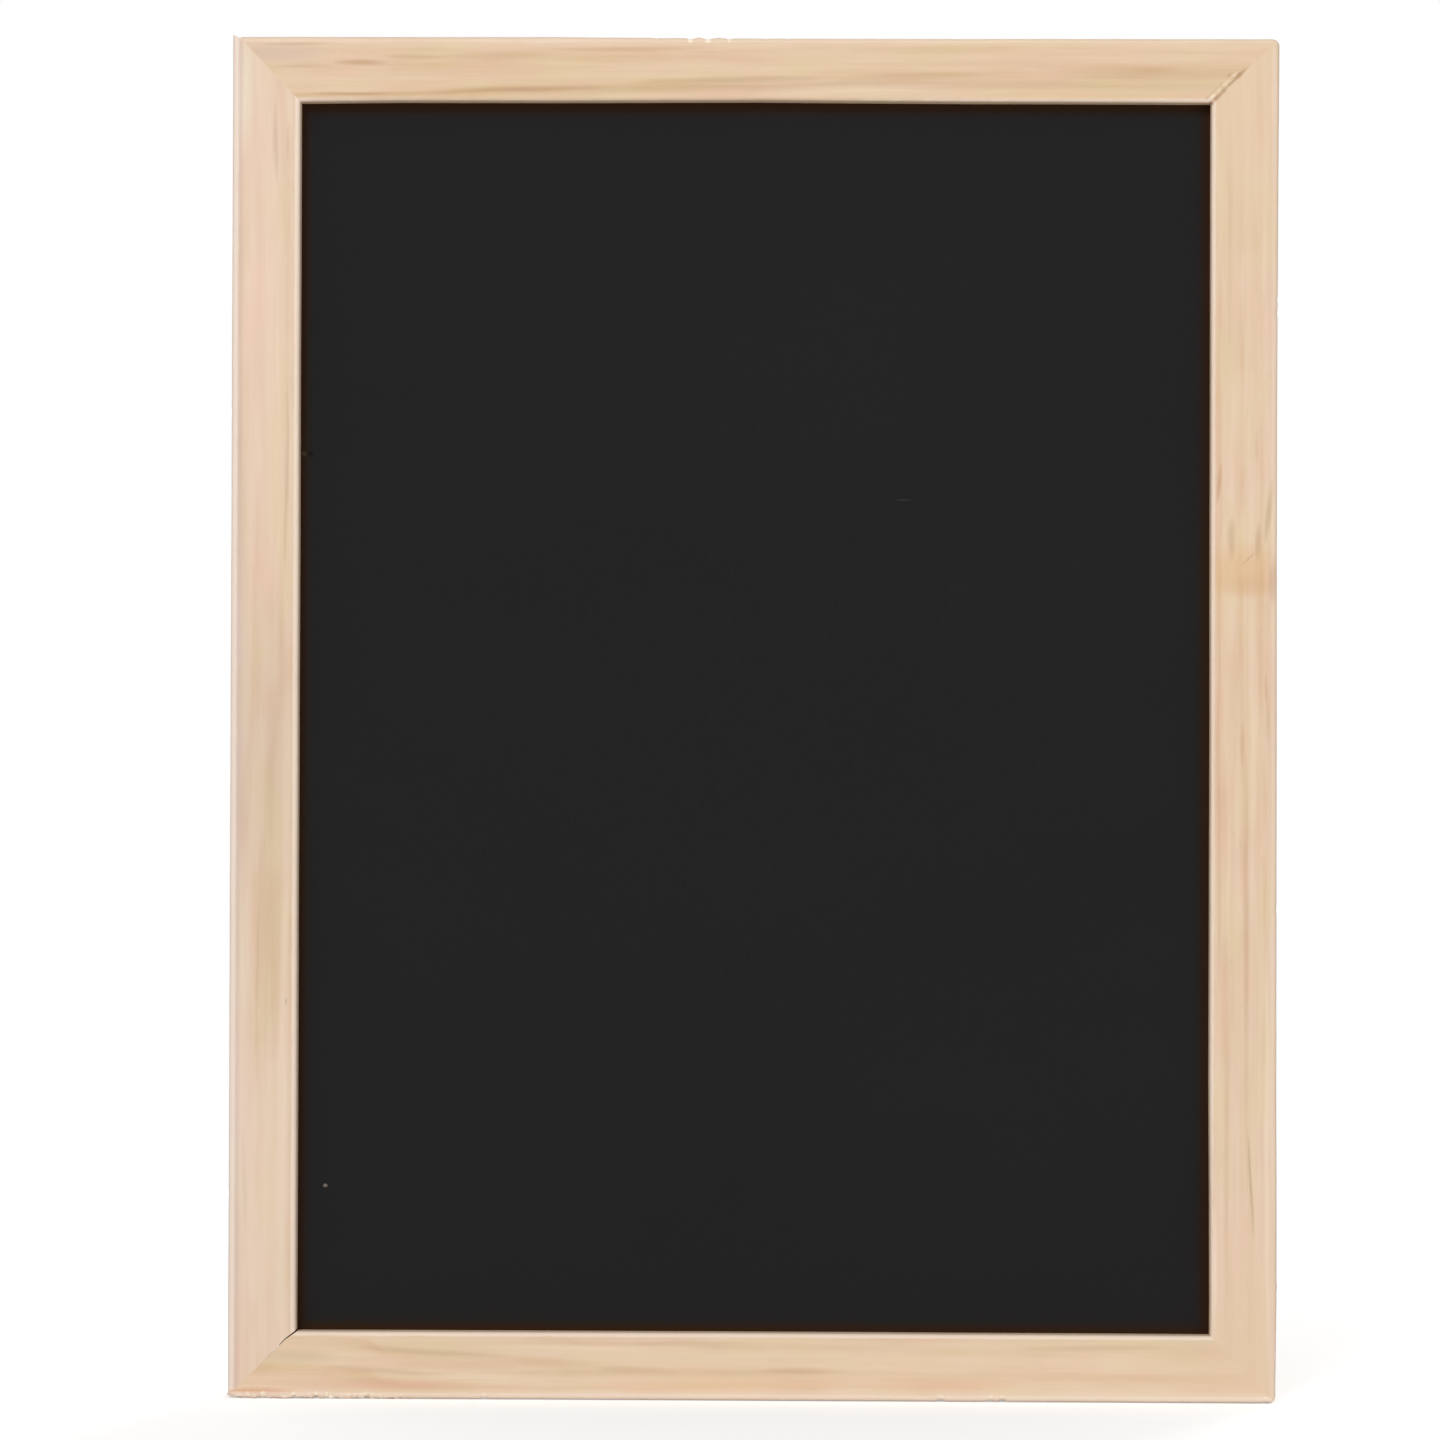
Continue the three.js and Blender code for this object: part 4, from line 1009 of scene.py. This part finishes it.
loops = [lower_edge + arc(round_centre, half_height, -quarter_turn, quarter_turn, 25)
         + arc(-round_centre, half_height, quarter_turn, 3 * quarter_turn, 25)]
loops += [arc(sign * nail_spacing / mm / 2, hole / 2, 0, 4 * quarter_turn, 33)[:-1] for sign in (-1, 1)]
stamping = bpy.data.curves.new("hanger_stamping", "CURVE")
stamping.dimensions, stamping.fill_mode = "2D", "BOTH"
burr = 0.07
stamping.extrude = (hanger_gauge / mm / 2 - burr) * mm
stamping.bevel_depth, stamping.bevel_resolution, stamping.offset = burr * mm, 1, -burr * mm
for loop in loops:
    spline = stamping.splines.new("POLY")
    spline.points.add(len(loop) - 1)
    for point, (x, z) in zip(spline.points, loop):
        point.co = (x * mm, z * mm, 0, 1)
    spline.use_cyclic_u = True
holder = set_out("hanger_stamping", stamping)
blank = bmesh.new()
blank.from_mesh(plain_mesh(holder))
bpy.data.objects.remove(holder)
bmesh.ops.remove_doubles(blank, verts=blank.verts, dist=1e-7)
bend_step = 0.35
for x in np.arange(-(bridge / 2 + ramp + 1), bridge / 2 + ramp + 1.01, bend_step):
    if abs(x) > bridge / 2 - 1:
        bmesh.ops.bisect_plane(
            blank, geom=blank.verts[:] + blank.edges[:] + blank.faces[:], dist=1e-7,
            plane_co=(x * mm, 0, 0), plane_no=(1, 0, 0))

# The strip's centre line seen from below, with each corner bent to the press's radius.
slope = math.atan2(rise, ramp)
tangent = bend_radius * math.tan(slope / 2)
line_x, line_y = [], []
for corner_x, low in ((bridge / 2 + ramp, True), (bridge / 2, False)):
    for step in np.linspace(0, slope, 7):
        if low:
            line_x.append(corner_x + tangent - bend_radius * math.sin(step))
            line_y.append(bend_radius * (1 - math.cos(step)))
        else:
            line_x.append(corner_x - tangent + bend_radius * math.sin(slope - step))
            line_y.append(rise - bend_radius * (1 - math.cos(slope - step)))
line_x, line_y = np.array(line_x)[::-1], np.array(line_y)[::-1]
for vertex in blank.verts:
    x = vertex.co.x / mm
    up = float(np.interp(abs(x), line_x, line_y))
    ahead = float(np.interp(abs(x) + 0.05, line_x, line_y))
    behind = float(np.interp(abs(x) - 0.05, line_x, line_y))
    tilt = math.atan2(ahead - behind, 0.1) * (1 if x > 0 else -1)
    off_centre = vertex.co.z / mm
    vertex.co = ((x - off_centre * math.sin(tilt)) * mm,
                 hanger_back + hanger_gauge / 2 + (up + off_centre * math.cos(tilt)) * mm,
                 hanger_middle + vertex.co.y)
bmesh.ops.recalc_face_normals(blank, faces=blank.faces)
hanger_mesh = bpy.data.meshes.new("sawtooth_hanger_strip")
blank.to_mesh(hanger_mesh)
blank.free()
for polygon in hanger_mesh.polygons:
    polygon.use_smooth = True
hanger_mesh.set_sharp_from_angle(angle=math.radians(30))
hanger_mesh.materials.append(brass)
hanger = set_out("sawtooth_hanger_strip", hanger_mesh)
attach(hanger, "root")
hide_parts("sawtooth_hanger")


# Floor
# A plain pale floor. The camera sees it fade to the white of the background a hand's breadth from
# the board, and it takes the board's soft shadow.
floor_mesh = bpy.data.meshes.new("floor")
with edited(floor_mesh) as ground:
    bmesh.ops.create_grid(ground, x_segments=8, y_segments=8, size=4)
floor = set_out("floor", floor_mesh)
floor.location.z = -0.2 * mm
pale, tree = new_material("pale matt floor")


def seen_directly(tree):
    """Whether a ray comes from the camera, off gloss or through glass, and not as light."""
    rays = add(tree, "LightPath")
    off_gloss = add(tree, "Math MAXIMUM", [rays.outputs["Is Camera Ray"], rays.outputs["Is Glossy Ray"]])
    return add(tree, "Math MAXIMUM", [off_gloss, rays.outputs["Is Transmission Ray"]])


seen = seen_directly(tree)
place = add(tree, "TexCoord").outputs["Object"]
from_board = add(tree, "VectorMath LENGTH", [add(tree, "VectorMath MULTIPLY", [place, (0.75, 1.0, 0)])])
far = add(tree, "MapRange SMOOTHSTEP", {"Value": from_board, "From Min": 0.14, "From Max": 0.42})
lift = add(tree, "Math MULTIPLY", [seen, 0.4])
matt = add(tree, "AddShader", [
    add(tree, "BsdfDiffuse", {"Color": linear("#f4f3f2")}),
    add(tree, "Emission", {"Color": linear("#ffffff"), "Strength": lift})])
white = add(tree, "Emission", {"Color": linear("#ffffff"), "Strength": 1.0})
shown = add(tree, "MixShader", [add(tree, "Math MULTIPLY", [far, seen]), matt, white])
add(tree, "OutputMaterial", {"Surface": shown})
floor_mesh.materials.append(pale)


# Light
# A white studio: an even sky for fill, a large soft box high on the left of the camera, and a
# reflector low on its right that all but evens it out. A third lamp lights the back.
sky = bpy.data.worlds.new("studio")
bpy.context.scene.world = sky
sky.use_nodes = True
tree = sky.node_tree
tree.nodes.clear()
fill_level = 0.48
level = add(tree, "MapRange", {"Value": seen_directly(tree), "To Min": fill_level, "To Max": 1.0})
studio = add(tree, "Background", {"Color": linear("#ffffff"), "Strength": level})
add(tree, "OutputWorld", {"Surface": studio})
for name, place, power, across in (("soft_box", (-1.8, -4.8, 3.2), 132.0, 2.4),
                                   ("reflector", (1.9, -3.0, 0.15), 30.0, 1.6),
                                   ("back_light", (0.9, 2.1, 1.4), 22.0, 1.2)):
    lamp = bpy.data.lights.new(name, "AREA")
    lamp.shape, lamp.size, lamp.energy = "DISK", across, power
    light = set_out(name, lamp)
    light.location = place
    aim = Vector((0, 0, middle_height)) - Vector(place)
    light.rotation_euler = aim.to_track_quat("-Z", "Y").to_euler()


# Camera
# Square to the board, a little right of its middle and just below it, as the photograph was taken.
camera_data = bpy.data.cameras.new("camera")
camera_data.sensor_width, camera_data.lens = 36.0, 126.435
camera = set_out("camera", camera_data)
yaw, pitch, roll = (math.radians(a) for a in (-1.0511, 0.5386, 0.1786))
look = Vector((math.sin(yaw) * math.cos(pitch), math.cos(yaw) * math.cos(pitch), math.sin(pitch)))
level_right = Vector((math.cos(yaw), -math.sin(yaw), 0))
level_up = level_right.cross(look)
right = level_right * math.cos(roll) + level_up * math.sin(roll)
up = level_up * math.cos(roll) - level_right * math.sin(roll)
eye = (0.0189, -1.6, 0.1992)
camera.matrix_world = Matrix.Translation(eye) @ Matrix((right, up, -look)).transposed().to_4x4()
bpy.context.scene.camera = camera
bpy.context.scene.view_settings.view_transform = "Standard"
